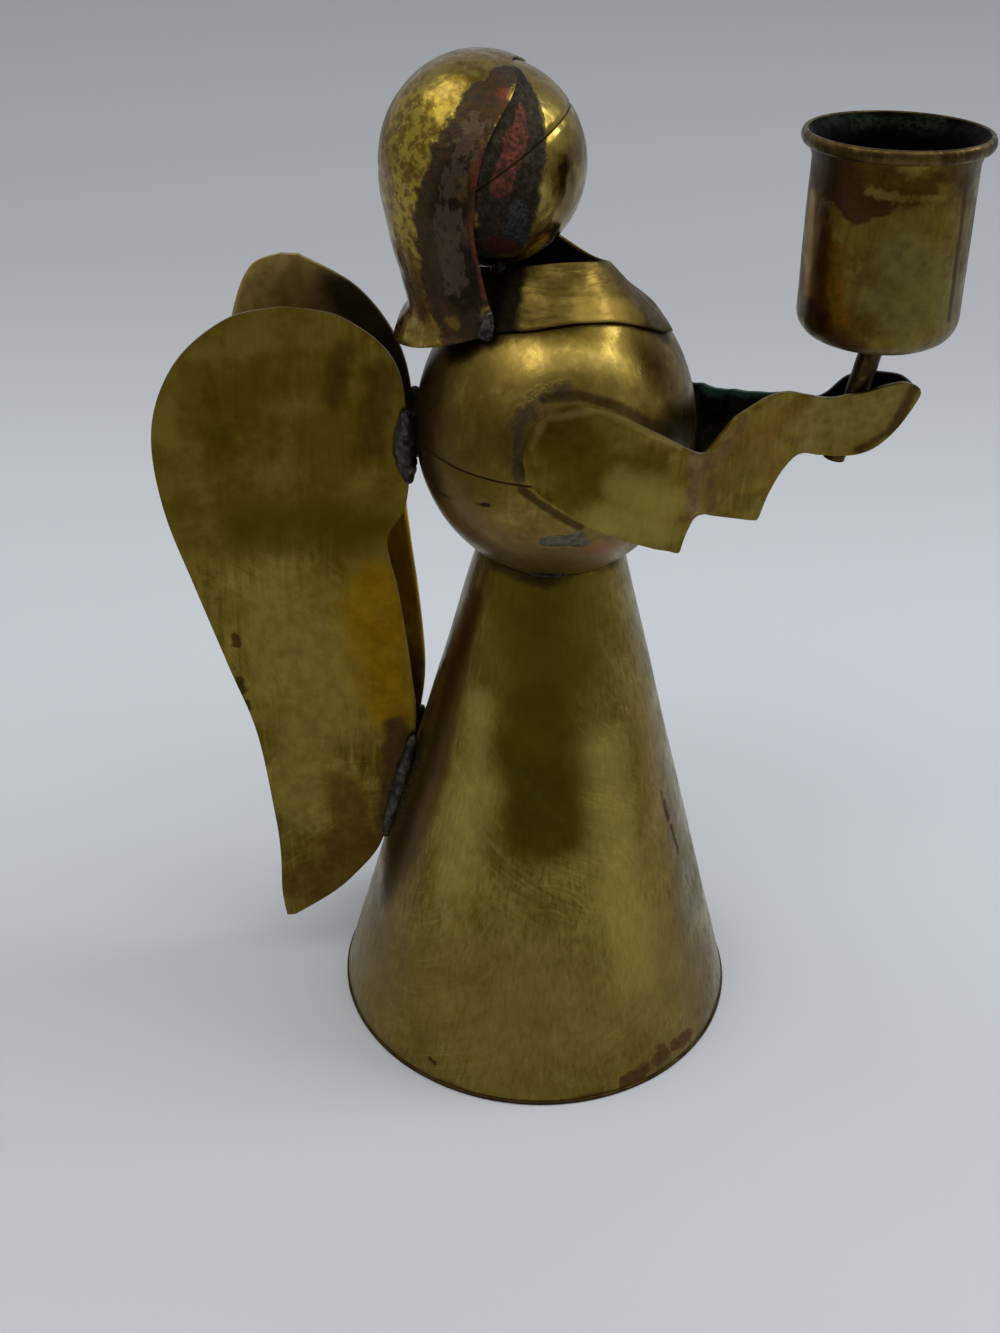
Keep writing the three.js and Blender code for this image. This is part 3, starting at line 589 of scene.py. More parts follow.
slant = radians(-head["tilt"])
headLook = {
    "tones": ((88, 74, 28), (112, 96, 46), (136, 120, 66), (66, 52, 14)),
    "cloud": 9, "mottle": 3.4, "brush": (1, 1, 3), "rough": (0.16, 0.32), "dent": 0.45, "dentSize": 6,
    "streakShare": 0.2,
    "patches": [
        stainAndPaintedLight((62, 48, 8), [(2.2, (1.2, 8.5, 163), (1.5, 7.5, 155))]),
        stainAndPaintedLight((84, 66, 20), [(2.6, (-1, 7.5, 151), (1, 5.5, 151))], amount=0.6),
        stainAndPaintedLight((20, 19, 17), [(2, (-8.5, 8, 172.5), (-9, 13, 166)), (2.2, (-9, 13.2, 166), (-9.5, 14.5, 158)),
            (3, (-7, 9, 171), (-7.5, 13, 165)), (2, (-7.8, 3.4, 174), (-4.2, 9.2, 169)),
            (1.9, (-4.2, 9.2, 169), (-3.6, 11.2, 164.5)), (2.2, (-3.9, 11.2, 164.5), (-4.7, 12.4, 158.5)),
            (2.5, (-4.7, 12.4, 158.5), (-6.2, 11.4, 152)), (3.8, (-8, 14, 160), (-8.4, 12, 152))],
            tone2=(38, 33, 30), soft=0.18, ragged=0.45, amount=0.96, rough=0.55, lump=0.3, fleck=0.9,
            flecks=(0.42, 0.6)),
        stainAndPaintedLight((84, 44, 32), [(0.9, (-5.4, 9.6, 170.2), (-6, 11.6, 167)),
            (1.65, (-5.8, 11.8, 167), (-7, 13.2, 163.4)), (1.6, (-6.8, 13.2, 164), (-8, 14.2, 160.4))],
            tone2=(50, 29, 22), soft=0.2, grain=1.8, amount=0.9, rough=0.5, metal=0.85, lump=0.18, fleck=0.8,
            flecks=(0.4, 0.6)),
        # painted highlight: a small yellow-orange spot at the top of the red streak
        stainAndPaintedLight((150, 98, 40), [(0.6, (-5.2, 8.6, 171.2), (-5.8, 9.8, 170))], soft=0.6, ragged=0.9, grain=1,
            amount=0.5),
        stainAndPaintedLight((52, 54, 50), [(1.6, (-5.6, 13.2, 156.6), (-5.8, 12.4, 153.6)),
            (1.2, (-5, 11.6, 152.4), (-5.6, 10.6, 150.6))], tone2=(28, 28, 25), soft=0.3, ragged=0.9, grain=1.4,
            amount=0.85, rough=0.55, lump=0.3, fleck=0.6, flecks=(0.42, 0.6)),
        stainAndPaintedLight((60, 22, 14), [(1.6, (-8.4, 12.2, 151.4), (-6, 10.2, 149.4))], tone2=(28, 14, 10), soft=0.4,
            ragged=0.7, grain=1.6, amount=0.85, rough=0.6, metal=0.85),
    ],
    "seams": [((sin(slant), 0, -cos(slant)),
               -head["back"] * sin(slant) - head["height"] * cos(slant), 0.2)],
}


def halfBall(name, ball, upper, material):
    radius, tall, tilt = ball["radius"], ball["tall"], radians(ball["tilt"])
    low = asin(halfEdge["gap"] / tall)

    def surface(u, v):
        turn = 2 * pi * u
        rise = mix(low, pi / 2, v)
        edge = 1 - halfEdge["roll"] * exp(-((rise - low) * radius / halfEdge["reach"]) ** 2) / radius
        flat = radius * edge * cos(rise)
        up = tall * edge * sin(rise) * (1 if upper else -1)
        spot = Vector(ring(flat, turn, up))
        spot *= 1 + ball["dent"] * wobble(spot, 9, 5.7) / radius
        forward = spot[0] * cos(tilt) + spot[2] * sin(tilt)
        rise = -spot[0] * sin(tilt) + spot[2] * cos(tilt)
        return at(forward - ball["back"], spot[1], ball["height"] + rise)

    half = "upper" if upper else "lower"
    piece = gridPiece(f"{name}_ball_{half}", surface, around, 44, f"{name}_{half}_half",
                      wrap=True, inwards=upper)
    finish(piece, material)


torsoBrass = agedBrass("torso brass", torsoLook)
headBrass = agedBrass("head brass", headLook)
for name, ball, material in (("torso", torso, torsoBrass), ("head", head, headBrass)):
    halfBall(name, ball, False, material)
    halfBall(name, ball, True, material)
print("balls")


# hair

hair = {
    "across": 15.35, "deep": 15.75, "tall": 15.85, "sheet": 0.36, "centre": (-11.9, 159.6),
    "uneven": 0.14, "unevenNeck": 0.30, "snug": 0.034, "lip": 1.0,
    # side view: the edge round the face, from the parting down to the lip
    "face": [
        (-6.6, 173.4), (-6.7, 172.6), (-7.2, 171.2), (-8.6, 168.8), (-10.0, 165.8), (-11.0, 161.9), (-11.5, 157.6),
        (-11.6, 153.3), (-10.8, 147.8), (-9.9, 143.4), (-8.9, 139.6), (-9.2, 137.2),
    ],
    # side view: the back of the hood, from the parting over the crown to the lip
    "back": [
        (-7.6, 174.5), (-11.7, 175.25), (-18.5, 174.0), (-24.0, 169.6), (-27.0, 163.8), (-27.4, 157.0),
        (-26.6, 150.0), (-25.4, 144.6), (-24.3, 140.4), (-23.6, 137.4), (-24.6, 134.9), (-25.2, 132.4),
    ],
    # half width by height, and how far back it reaches by height
    "side": through([
        (128, 12.0), (133, 12.4), (137, 12.1), (141, 12.4), (147, 13.3), (153.3, 14.7), (157, 15.2), (159.6, 15.35),
    ]),
    "rear": through([
        (128, 23.4), (131.6, 24.4), (133.8, 25.4), (135.6, 24.8), (137.6, 23.6), (142, 24.4), (148, 26.1),
        (154, 27.3), (157, 27.6), (159.6, 27.6),
    ]),
}


def insideHair(spot):
    # negative inside the hood's outer form
    forward, right, up = spot
    forward -= hair["centre"][0]
    rise = up - hair["centre"][1]
    if rise > 0:
        tilt = radians(head["tilt"])
        lean = forward * sin(tilt) + rise * cos(tilt)
        flat = forward * cos(tilt) - rise * sin(tilt)
        return hypot(flat / hair["deep"], right / hair["across"], lean / hair["tall"]) - 1
    reach = hair["rear"](up) + hair["centre"][0] if forward < 0 else hair["deep"]
    return hypot(forward / reach, right / hair["side"](up)) - 1


def hairSurface(u, v):
    face, back = along(hair["face"])(v), along(hair["back"])(v)
    turn = pi * u
    reach = (back - face).length
    middle = Vector((face[0], 0, face[1]))
    aim = Vector(((back[0] - face[0]) / reach, 0, (back[1] - face[1]) / reach))
    ray = Vector((0, cos(turn), 0)) + aim * sin(turn)
    low, high = 0.0, 40.0    # halved until the form's outside is met
    for _ in range(30):
        half = (low + high) / 2
        if insideHair(middle + ray * half) < 0:
            low = half
        else:
            high = half
    spot = middle + ray * low
    bump = hair["uneven"] * wobble(spot, 6, 1.3)
    bump += hair["unevenNeck"] * wobble(spot, 5, 8.2) * smoothStep(150 - spot[2], 0, 14)
    middle = Vector((-head["back"], 0, head["height"]))
    spot = middle.lerp(spot, 1 - hair["snug"] * (1 - smoothStep(v, 0.0, 0.18)))    # snug at the parting
    lip = hair["lip"] * smoothStep(v, 0.93, 1)    # turned out at the bottom
    spot += ray * (bump * sin(turn) ** 0.5 + lip * sin(turn) ** 0.6)
    return at(*spot)


hairLook = {
    "tones": ((84, 68, 20), (106, 90, 40), (134, 116, 66), (58, 42, 12)),
    "cloud": 7, "mottle": 2.4, "brush": (1, 1, 5), "rough": (0.17, 0.32), "dent": 0.4, "dentSize": 5.5,
    "brightShare": 0.7, "darkShare": 0.85, "streakShare": 0.4, "glintShare": 0.45,
    "patches": [
        stainAndPaintedLight((128, 110, 40), [(7, (-20, 9, 166), (-21, 11, 154))], tone2=(84, 66, 22), soft=0.7, ragged=0.6,
            fleck=1.3, flecks=(0.46, 0.56)),
        stainAndPaintedLight((36, 32, 26), [(1.9, (-8, 5, 174), (-10.5, 9.6, 171.5)),
            (2.9, (-10.5, 10, 171.3), (-12.6, 12.9, 167.6)), (4, (-13, 13.5, 166), (-14.4, 14.6, 161)),
            (5, (-15, 14.4, 159), (-15.6, 13.6, 152)), (5, (-15.6, 13, 150), (-15, 12.2, 144)),
            (3.9, (-14.6, 12.2, 142), (-13.4, 11.9, 136))], tone2=(50, 35, 21), soft=0.14, ragged=0.55, grain=2.8,
            amount=0.95, rough=0.44, lump=0.22, fleck=1.1, flecks=(0.44, 0.58)),
        stainAndPaintedLight((21, 15, 9), [(2.8, (-13.5, 14.6, 162), (-15.4, 14.2, 156)),
            (2.6, (-13, 13.4, 149), (-13.4, 12.4, 143))], tone2=(34, 27, 20), soft=0.4, ragged=0.6, amount=0.9,
            rough=0.5, fleck=1.6),
        stainAndPaintedLight((76, 65, 52), [(1.7, (-12, 12.6, 168), (-14.5, 14.6, 160)),
            (1.8, (-15.4, 14.2, 156), (-14.8, 12.8, 145))], soft=0.3, ragged=1.9, grain=0.9, amount=0.5, rough=0.5,
            stretch=(1, 1, 2.2)),
        stainAndPaintedLight((100, 86, 66), [(2, (-22.5, 7, 147), (-21.5, 7.6, 139))], soft=0.8, ragged=0.8, grain=2, amount=0.55,
            stretch=(1, 1, 3)),
        stainAndPaintedLight((84, 66, 28), [(0.5, (-10.8, 13.8, 166.4), (-12.6, 15, 161.2)),
            (0.5, (-13, 15.2, 161), (-13.4, 15.2, 158.6))], soft=0.6, ragged=1.2, grain=1.2, amount=0.3, rough=0.34),
        stainAndPaintedLight((96, 50, 28), [(1, (-8.2, 8.6, 171.6), (-11.2, 14.6, 162.4)),
            (0.8, (-11.2, 14.8, 162), (-11.4, 14.4, 152)), (0.7, (-11.4, 14, 152), (-10, 12.8, 144))],
            tone2=(60, 32, 18), ragged=0.9, grain=2, rough=0.55, metal=0.85, lump=0.15, fleck=1),
        stainAndPaintedLight((100, 82, 30), [(0.9, (-15.4, 12, 139), (-14.8, 12.2, 138.4)),
            (0.8, (-18.2, 10.6, 137.6), (-17.6, 11, 137))], ragged=1.2, grain=1.2, amount=0.55, rough=0.34),
        stainAndPaintedLight((66, 68, 68), [(1, (-9.6, 12.2, 139.8), (-9.2, 12.2, 136.6))], tone2=(34, 33, 32), soft=0.4,
            ragged=0.9, grain=1.2, amount=0.9, rough=0.5, metal=0.6, lump=0.3, fleck=0.7),
        stainAndPaintedLight((34, 27, 20), [(1.1, (-24, 0, 131.4), (-18, 10.7, 133.8)),
            (1, (-18, 10.7, 133.8), (-9.4, 12.2, 137))], ragged=0.8, grain=1.6, amount=0.75, rough=0.5),
    ],
}

# painted shade: the inner faces of the hood and collar are near black
shadedInsideLook = {
    "tones": ((16, 12, 6), (28, 21, 10), (46, 36, 18), (8, 6, 3)),
    "cloud": 8, "mottle": 2.4, "rough": (0.45, 0.65), "dent": 0.3, "dentSize": 5,
}
shadedInsideBrass = agedBrass("painted shade inner brass", shadedInsideLook)
hairPiece = gridPiece("hair_hood", hairSurface, 100, 100, "hair_shell")
thicken(hairPiece, hair["sheet"], side=-1, edge=0.12, lined=True)
finish(hairPiece, agedBrass("heated hair brass", hairLook), shadedInsideBrass)
print("hair")


# collar

collar = {
    "sheet": 0.6, "farDrop": 2.3,
    "lower": [
        (-12.5, 10.6, 136.0), (-10, 11.3, 137.0), (-7.3, 12.2, 137.8), (-3.5, 12.8, 138.5), (-0.4, 12.4, 139.1),
        (2.9, 11.6, 139.5), (6.1, 10.4, 139.4), (9.2, 8.7, 139.0), (13.6, 5.7, 137.3), (16.2, 2.6, 135.5),
        (17.5, 0, 134.6),
    ],
    "upper": [(-11, 6.2, 144.5), (-3.5, 8.0, 147.4), (5.0, 7.0, 147.6), (7.2, 0, 145.0)],
}


def bezier(points, t):
    a, b, c, d = (Vector(p) for p in points)
    s = 1 - t
    return a * s ** 3 + 3 * b * s * s * t + 3 * c * s * t * t + d * t ** 3


def collarSurface(u, v):
    side = 1 if u <= 0.5 else -1
    t = 2 * u if u <= 0.5 else 2 - 2 * u
    spot = along(collar["lower"])(t).lerp(bezier(collar["upper"], t), v)
    if side < 0:
        spot[2] -= collar["farDrop"] * v * sin(pi * clamp((t - 0.42) / 0.58))
    spot[1] *= 1 + 0.02 * wobble((spot[0], 0, spot[2]), 6, 3.3)
    return at(spot[0], side * spot[1], spot[2])


collarLook = {
    "tones": ((65, 53, 20), (79, 65, 27), (106, 89, 42), (46, 35, 12)),
    "cloud": 9, "mottle": 3.2, "brush": (7, 7, 1), "brushSize": 0.6, "rough": (0.36, 0.48), "dent": 0.25,
    "glintShare": 0.4, "streakShare": 0.4,
    "patches": [
        # painted shade: a near black patch where the collar turns away behind the hood
        stainAndPaintedLight((10, 9, 7), [(2.5, (-7.6, 12, 138), (-7.2, 7, 146))], tone2=(24, 20, 13), soft=0.3, ragged=0.4,
            grain=2, amount=0.96, rough=0.6),
        # painted highlight: a lighter patch low on the collar's front
        stainAndPaintedLight((132, 110, 50), [(2.4, (5, 10.4, 141), (11, 6.5, 139.5))], soft=0.6, amount=0.6),
        stainAndPaintedLight((62, 50, 22), [(2, (16.5, 1.4, 135.6), (9, 1, 143))], grain=2, amount=0.6),
    ],
}

collarPiece = gridPiece("neck_collar", collarSurface, 140, 20, "collar")
thicken(collarPiece, collar["sheet"], lined=True)
finish(collarPiece, agedBrass("collar brass", collarLook), shadedInsideBrass)


# arms

arm = {
    "sheet": 0.75, "back": -2.7, "tip": 56.2, "dish": 1.9, "middle": torso["height"] + 1.8, "fold": 0.5,
    "uneven": 0.22, "leftDrop": 5.6, "leftElbow": 3.6,
    # by how far forward: half width, lower edge, upper edge, and how much lower the left arm is
    "side": through([
        (-2.7, 22.3), (0, 23.1), (4.5, 22.8), (9.2, 21.3), (15, 18.9), (20, 16.8), (24.2, 15.2),
        (28, 12.7), (34, 7.9), (39.5, 3.5), (42.2, 2.3), (44.5, 2.5), (48, 2.9), (52, 2.4), (56.2, 1.0),
    ]),
    "low": through([
        (-2.7, -2.7), (3, -3.3), (7.6, -6.9), (12.1, -9.9), (17, -12.0), (19.5, -12.6), (21.3, -12.9),
        (21.6, -11.6), (22.3, -8.8), (23.2, -6.4), (24.2, -6.2), (25.2, -6.6), (29.4, -8.5), (32.4, -9.9),
        (33.1, -9.8), (33.7, -7.7), (34.4, -5.6), (36.1, -2.4), (38.4, -0.4),
        (42, -1.1), (46, -0.8), (49.5, 0.4), (53.4, 3.2), (56.2, 6.4),
    ], torso["height"]),
    "high": through([
        (-2.7, 12.9), (2, 13.3), (5, 13.1), (10.8, 11.3), (16.9, 7.9), (21.6, 4.9), (23.6, 4.3), (24.3, 4.6),
        (27.6, 8.6), (30.1, 9.9), (33, 11), (36, 10.9), (39, 9.5), (42.4, 8.5),
        (45.5, 9.5), (48.4, 10.5), (51.3, 11.7), (53.8, 12.7), (56.2, 12.6),
    ], torso["height"]),
    "sag": through([
        (-3, 5.0), (21, 3.8), (23.8, 3.0), (25.6, 4.8), (27.6, 6.6), (33, 7.2), (36, 5.8), (40, 3.2), (42.5, 1.0),
        (45, -0.7), (48, -0.6), (51, 0.2), (54, 0.8), (56, 1.4),
    ]),
}


def torsoRadiusAt(height, room):
    rise = (height - torso["height"]) / (torso["tall"] + room)
    return (torso["radius"] + room) * sqrt(max(1 - rise ** 2, 0))


def rounded(distance, reach):
    t = clamp(distance / reach)
    return sqrt(1 - (1 - t) ** 2)


def armSurface(side):
    def surface(u, v):
        # closer columns at both ends
        pulled = u - 0.05 * sin(2 * pi * u) * (1 if u < 0.5 else 0.6)
        forward = mix(arm["back"], arm["tip"], pulled)
        low, high = arm["low"](forward), arm["high"](forward)
        if side < 0:
            low -= arm["leftElbow"] * max(0, 1 - abs(forward - 24) / 5)    # this elbow is cut less deep
        keep = 0.02 + 0.98 * rounded(forward - arm["back"], 8) * rounded(arm["tip"] - forward, 7.0)
        middle = (low + high) / 2 + (0.5 if forward > 50 else -0.2) * (1 - keep)
        height = middle + (v - 0.5) * (high - low) * keep
        dish = 1 - smoothStep(forward, 8, 26)
        free = arm["side"](forward) - dish * ((height - arm["middle"]) / 11) ** 2 * arm["dish"]
        free += arm["fold"] * max(0, 1 - abs(forward - 23.2) / 1.7)    # pressed in at the elbow
        sag = arm["sag"](forward) if side < 0 else 0
        hug = sqrt(max(torsoRadiusAt(height - sag, 0.6) ** 2 - forward ** 2, 0))
        out = max(free, hug)
        out += arm["uneven"] * wobble((forward, 0, height), 8, 4.4 + side) * smoothStep(v, -0.2, 0.3)
        return at(forward, side * out, height - sag)

    return surface


armLook = {
    "tones": ((78, 65, 16), (94, 80, 28), (112, 98, 46), (56, 42, 8)),
    "cloud": 11, "mottle": 3.6, "brush": (1, 1, 6), "rough": (0.26, 0.40), "dent": 0.35, "dentSize": 7, "wear": 0.07,
    "patches": [
        stainAndPaintedLight((54, 42, 3), [(5, (0.5, 23, 126), (7, 22, 119)), (4, (5, 22.5, 118), (14, 19.5, 120))],
            tone2=(68, 56, 10), soft=0.6, grain=5, amount=0.85, fleck=4),
        stainAndPaintedLight((112, 102, 46), [(3.4, (9, 21, 112), (17, 18.6, 108.5)), (3, (12, 20, 118), (18, 17.6, 114))],
            soft=0.7, ragged=0.6, grain=4, amount=0.7),
        stainAndPaintedLight((122, 106, 60), [(0.7, (-2.4, 22, 121), (0, 22, 129)),
            (0.6, (0, 22, 129), (8, 21, 130.4), (20, 17, 123.6))], soft=0.6, grain=1.6, amount=0.6),
        stainAndPaintedLight((108, 92, 62), [(1.1, (22.4, 16, 122), (23, 16, 107))], tone2=(80, 60, 40), soft=0.6, ragged=0.7,
            grain=2.2, rough=0.34, stretch=(1, 1, 3), fleck=2),
        stainAndPaintedLight((66, 46, 28), [(1.2, (24.4, 15.2, 121), (25.2, 14.6, 112.6)),
            (1.4, (25, 14.8, 120), (29, 11.8, 125.4))], tone2=(90, 66, 34), soft=0.6, ragged=0.7, grain=2.4,
            stretch=(1, 1, 2.5), fleck=2),
        stainAndPaintedLight((98, 70, 18), [(3, (31, 10.2, 122), (38, 4.6, 125)), (2.2, (34, 8, 118), (36, 6.5, 113))],
            tone2=(80, 58, 14), soft=0.7, ragged=0.8, grain=3.4, amount=0.7, fleck=2),
        stainAndPaintedLight((106, 94, 50), [(4.6, (42, 2.8, 122), (52, 2.6, 126))], tone2=(88, 74, 34), ragged=0.6, fleck=1.8),
        stainAndPaintedLight((40, 28, 12), [(1, (55.2, 1.4, 129), (53, 2.4, 122)), (0.7, (53, 2.4, 122), (48, 3, 118.3))],
            soft=0.6, ragged=0.7, grain=1.8, rough=0.45),
    ],
}
farArmLook = {
    "tones": ((10, 12, 8), (26, 26, 16), (70, 62, 26), (5, 6, 4)),
    "cloud": 6, "mottle": 2.0, "brush": (1, 1, 1), "rough": (0.42, 0.6), "dent": 0.4, "dentSize": 4,
    "brightShare": 0.3, "darkShare": 0.8,
    "patches": [
        stainAndPaintedLight((10, 44, 32), [(1.3, (24, -15, 118.6), (32, -9, 122)), (1.1, (32, -9, 122), (38, -5, 123.4))],
            tone2=(30, 62, 44), ragged=0.7, grain=2.2, amount=0.85, rough=0.62, metal=0.25, lump=0.2, fleck=1),
        stainAndPaintedLight((46, 42, 34), [(1.6, (24, -14, 110), (30, -10, 112))], tone2=(20, 20, 17), ragged=1, grain=1.5,
            amount=0.5, rough=0.5, fleck=0.8),
        stainAndPaintedLight((14, 12, 7), [(7, (43, -2.6, 121), (56, -2, 128))], tone2=(30, 24, 10), soft=0.4, ragged=0.3,
            amount=0.9, rough=0.5, fleck=2.4),
    ],
}

armBrass = agedBrass("arm brass", armLook)
farArmBrass = agedBrass("far arm brass", farArmLook)
for side, name in ((1, "right"), (-1, "left")):
    piece = gridPiece(f"arm_{name}_sheet", armSurface(side), 300, 26, f"arm_{name}", crease=24)
    thicken(piece, arm["sheet"])
    finish(piece, armBrass if side > 0 else farArmBrass)
print("collar and arms")


# wings

def besideSkirt(height):
    return (-(skirtRadiusAt(height) + 0.75), height)


wing = {
    "sheet": 0.65, "root": 3.2, "spread": 0.1, "rootLine": 20, "bulge": 0.9, "uneven": 0.3,
    "right": {
        "trailing": [
            (-48.0, 12.7), (-48.6, 19), (-48.4, 28.4), (-48.9, 38), (-51.0, 56.4), (-55.0, 70.5), (-59.6, 86),
            (-63.5, 100), (-64.8, 112), (-63.1, 121), (-58.4, 129), (-50.6, 135.1), (-42.6, 137.0),
        ],
        "leading": [
            (-46.4, 12.9), (-39, 18.7), (-34.3, 23.9), besideSkirt(31), besideSkirt(41), besideSkirt(57),
            (-23.4, 70), (-25.3, 86), (-27, 96.4), (-23.9, 103), (-23.2, 114), (-25.2, 128), (-33, 135.2),
            (-40.6, 136.9),
        ],
    },
    "left": {
        "trailing": [
            (-46, 15), (-47, 21), (-46.6, 30), (-47, 40), (-49, 57), (-51.5, 71), (-54, 87),
            (-56.2, 101), (-56.4, 113), (-55.4, 122), (-53.3, 131.8), (-50.0, 138.9), (-45, 141.4),
        ],
        "leading": [
            (-44.4, 14.9), (-38, 20), (-34, 25), besideSkirt(32), besideSkirt(42), besideSkirt(54),
            (-22.1, 66), (-23.0, 80), (-24.5, 93), (-25.2, 103), (-23.6, 114), (-25.5, 127.2), (-32.2, 136.6),
            (-42, 141.5),
        ],
    },
}


def wingSurface(side, name):
    trailing, leading = along(wing[name]["trailing"]), along(wing[name]["leading"])

    def surface(u, v):
        spot = trailing(v).lerp(leading(v), u)
        back = -spot[0] - wing["rootLine"]
        out = wing["root"] + wing["spread"] * back
        out += wing["bulge"] * sin(pi * spot[1] / 140) * sin(pi * back / 48)
        out += wing["uneven"] * wobble((spot[0], 0, spot[1]), 19, 2.2 + side)
        return at(spot[0], side * out, spot[1])

    return surface


wingGrain = {
    "mottle": 5, "brush": (1, 1, 9), "brushSize": 0.9, "rough": (0.30, 0.44), "dent": 0.5, "dentSize": 12,
}
wingLook = {
    "tones": ((80, 66, 16), (98, 83, 30), (116, 102, 46), (56, 42, 8)),
    "cloud": 18, **wingGrain, "brightShare": 0.6, "streakShare": 0.5, "glintShare": 0.5,
    "swirls": [
        {"centre": (-70, 6, 60), "strokes": [(13, (-44, 6, 84), (-40, 6, 46))], "amount": 0.45},
        {"centre": (-30, 6, 10), "strokes": [(12, (-38, 6, 40), (-44, 6, 20))], "amount": 0.45},
        {"centre": (-80, 6, 150), "strokes": [(14, (-52, 7, 122), (-40, 6, 108))], "amount": 0.3},
    ],
    "patches": [
        stainAndPaintedLight((68, 53, 6), [(18, (-40, 6, 116), (-54, 7, 110)), (12, (-30, 5, 112), (-26, 4, 100)),
            (12, (-44, 6, 128), (-54, 7, 122))], tone2=(88, 73, 24), soft=0.3, ragged=0.2, grain=12, amount=0.85,
            rough=0.32, fleck=10, flecks=(0.4, 0.64)),
        stainAndPaintedLight((50, 44, 4), [(4, (-28, 5, 99), (-50, 7, 98))], soft=0.9, ragged=0.4, grain=9, amount=0.6),
        stainAndPaintedLight((40, 30, 6), [(3.6, (-57, 7.4, 122), (-53, 7, 114)), (2.2, (-57, 7.4, 126), (-58, 7.4, 116))],
            tone2=(58, 44, 10), soft=0.8, ragged=1, grain=2.6, amount=0.35, rough=0.42, fleck=2),
        stainAndPaintedLight((26, 19, 4), [(3, (-27, 4.4, 126), (-29, 4.6, 114)), (1.8, (-33, 5, 130), (-35, 5.2, 122))],
            tone2=(46, 34, 6), soft=0.8, ragged=0.9, amount=0.6, rough=0.4, stretch=(1, 1, 2), fleck=2),
        stainAndPaintedLight((108, 82, 6), [(4.6, (-29, 5, 88), (-27, 4.5, 62)), (3.4, (-33, 5.4, 84), (-32, 5.4, 66))],
            tone2=(86, 58, 0), grain=6, amount=0.85, rough=0.32, stretch=(1, 1, 2), fleck=5),
        stainAndPaintedLight((114, 101, 44), [(8, (-44, 6.6, 82), (-40, 6, 62)), (5, (-42, 6.6, 58), (-44, 6.8, 40))],
            tone2=(96, 82, 34), soft=0.6, ragged=0.6, grain=6, amount=0.7, rough=0.4, fleck=2.6),
        stainAndPaintedLight((34, 26, 12), [(2.4, (-26, 4.5, 58), (-28, 4.6, 34))], tone2=(52, 36, 18), ragged=0.6, amount=0.85,
            rough=0.45, fleck=2),
        stainAndPaintedLight((56, 38, 6), [(6, (-34, 5.6, 30), (-42, 6.2, 20)), (3.6, (-36, 5.6, 44), (-34, 5.6, 36))],
            tone2=(76, 58, 20), ragged=0.7, grain=5, rough=0.4, fleck=3, stretch=(1.6, 1, 1)),
        stainAndPaintedLight((50, 34, 10), [(0.8, (-53.4, 7.6, 77), (-53.4, 7.6, 75.6)), (0.8, (-53.4, 7.6, 68), (-53, 7.6, 66)),
            (0.6, (-52.4, 7.5, 63), (-52.2, 7.5, 62))], soft=0.4, ragged=1, grain=1.2, amount=0.85, rough=0.6),
    ],
}
farWingLook = {
    "tones": ((120, 90, 8), (150, 116, 14), (172, 136, 26), (84, 60, 6)),
    "cloud": 16, **wingGrain,
    "patches": [
        stainAndPaintedLight((146, 126, 76), [(12, (-52, -7, 130), (-42, -6, 138)), (12, (-52, -7, 112), (-54, -7, 100))],
            tone2=(116, 98, 54), ragged=0.4, grain=6, amount=0.9, rough=0.4, fleck=3),
        stainAndPaintedLight((34, 31, 26), [(4.5, (-34, -5, 136), (-25, -4, 126)), (3.4, (-25, -4, 126), (-24, -4, 108))],
            tone2=(54, 46, 28), grain=4, amount=0.9, rough=0.45, fleck=3),
        stainAndPaintedLight((60, 44, 6), [(4.5, (-26, -4.5, 66), (-28, -4.6, 40))], tone2=(84, 62, 8), grain=4, fleck=3),
    ],
}

wingBrass = agedBrass("wing brass", wingLook)
farWingBrass = agedBrass("far wing brass", farWingLook)
for side, name in ((1, "right"), (-1, "left")):
    piece = gridPiece(f"wing_{name}_sheet", wingSurface(side, name), 40, 170, f"wing_{name}")
    thicken(piece, wing["sheet"])
    finish(piece, wingBrass if side > 0 else farWingBrass)
print("wings")


# candle cup and its rod

cup = {
    "forward": 47.7, "rim": 166.5, "height": 30.8, "floor": 29.3, "tilt": 0.9, "lean": 4.0, "radius": 12.1,
    "sheet": 0.7, "corner": 4.3, "bead": 1.05, "beadOut": 1.17, "beadFlat": 0.6, "uneven": 0.12,
}
rod = {"radius": 1.8, "foot": (44.6, 0, 115.1), "head": (48.5, 0, 135.8)}


def cupPoint(radius, turn, height):
    # the cup leans away from the window and stands on its own foot
    tilt, lean = radians(cup["tilt"]), radians(cup["lean"])
    if radius > 2:
        radius += cup["uneven"] * wobble(ring(radius, turn, height), 8, 6.3)
    forward, side, up = ring(radius, turn, height + cup["height"])
    right, up = side * cos(lean) - up * sin(lean), side * sin(lean) + up * cos(lean)
    footForward = cup["forward"] + cup["height"] * sin(tilt)
    footUp = cup["rim"] - cup["height"] * cos(tilt)
    away, rise = forward * cos(tilt) - up * sin(tilt), forward * sin(tilt) + up * cos(tilt)
    return at(footForward + away, right, footUp + rise)


def leaned(strokes):
    # strokes noted on the upright cup, moved with its lean
    def moved(spot):
        forward, right, up = spot
        return (forward, right - (up - cup["rim"] + cup["height"]) * tan(radians(cup["lean"])), up)
    return [(radius, *map(moved, points)) for radius, *points in strokes]


def arc(radius, start, end, steps):
    angles = [radians(mix(start, end, i / steps)) for i in range(steps + 1)]
    return [(radius * cos(angle), radius * sin(angle)) for angle in angles]


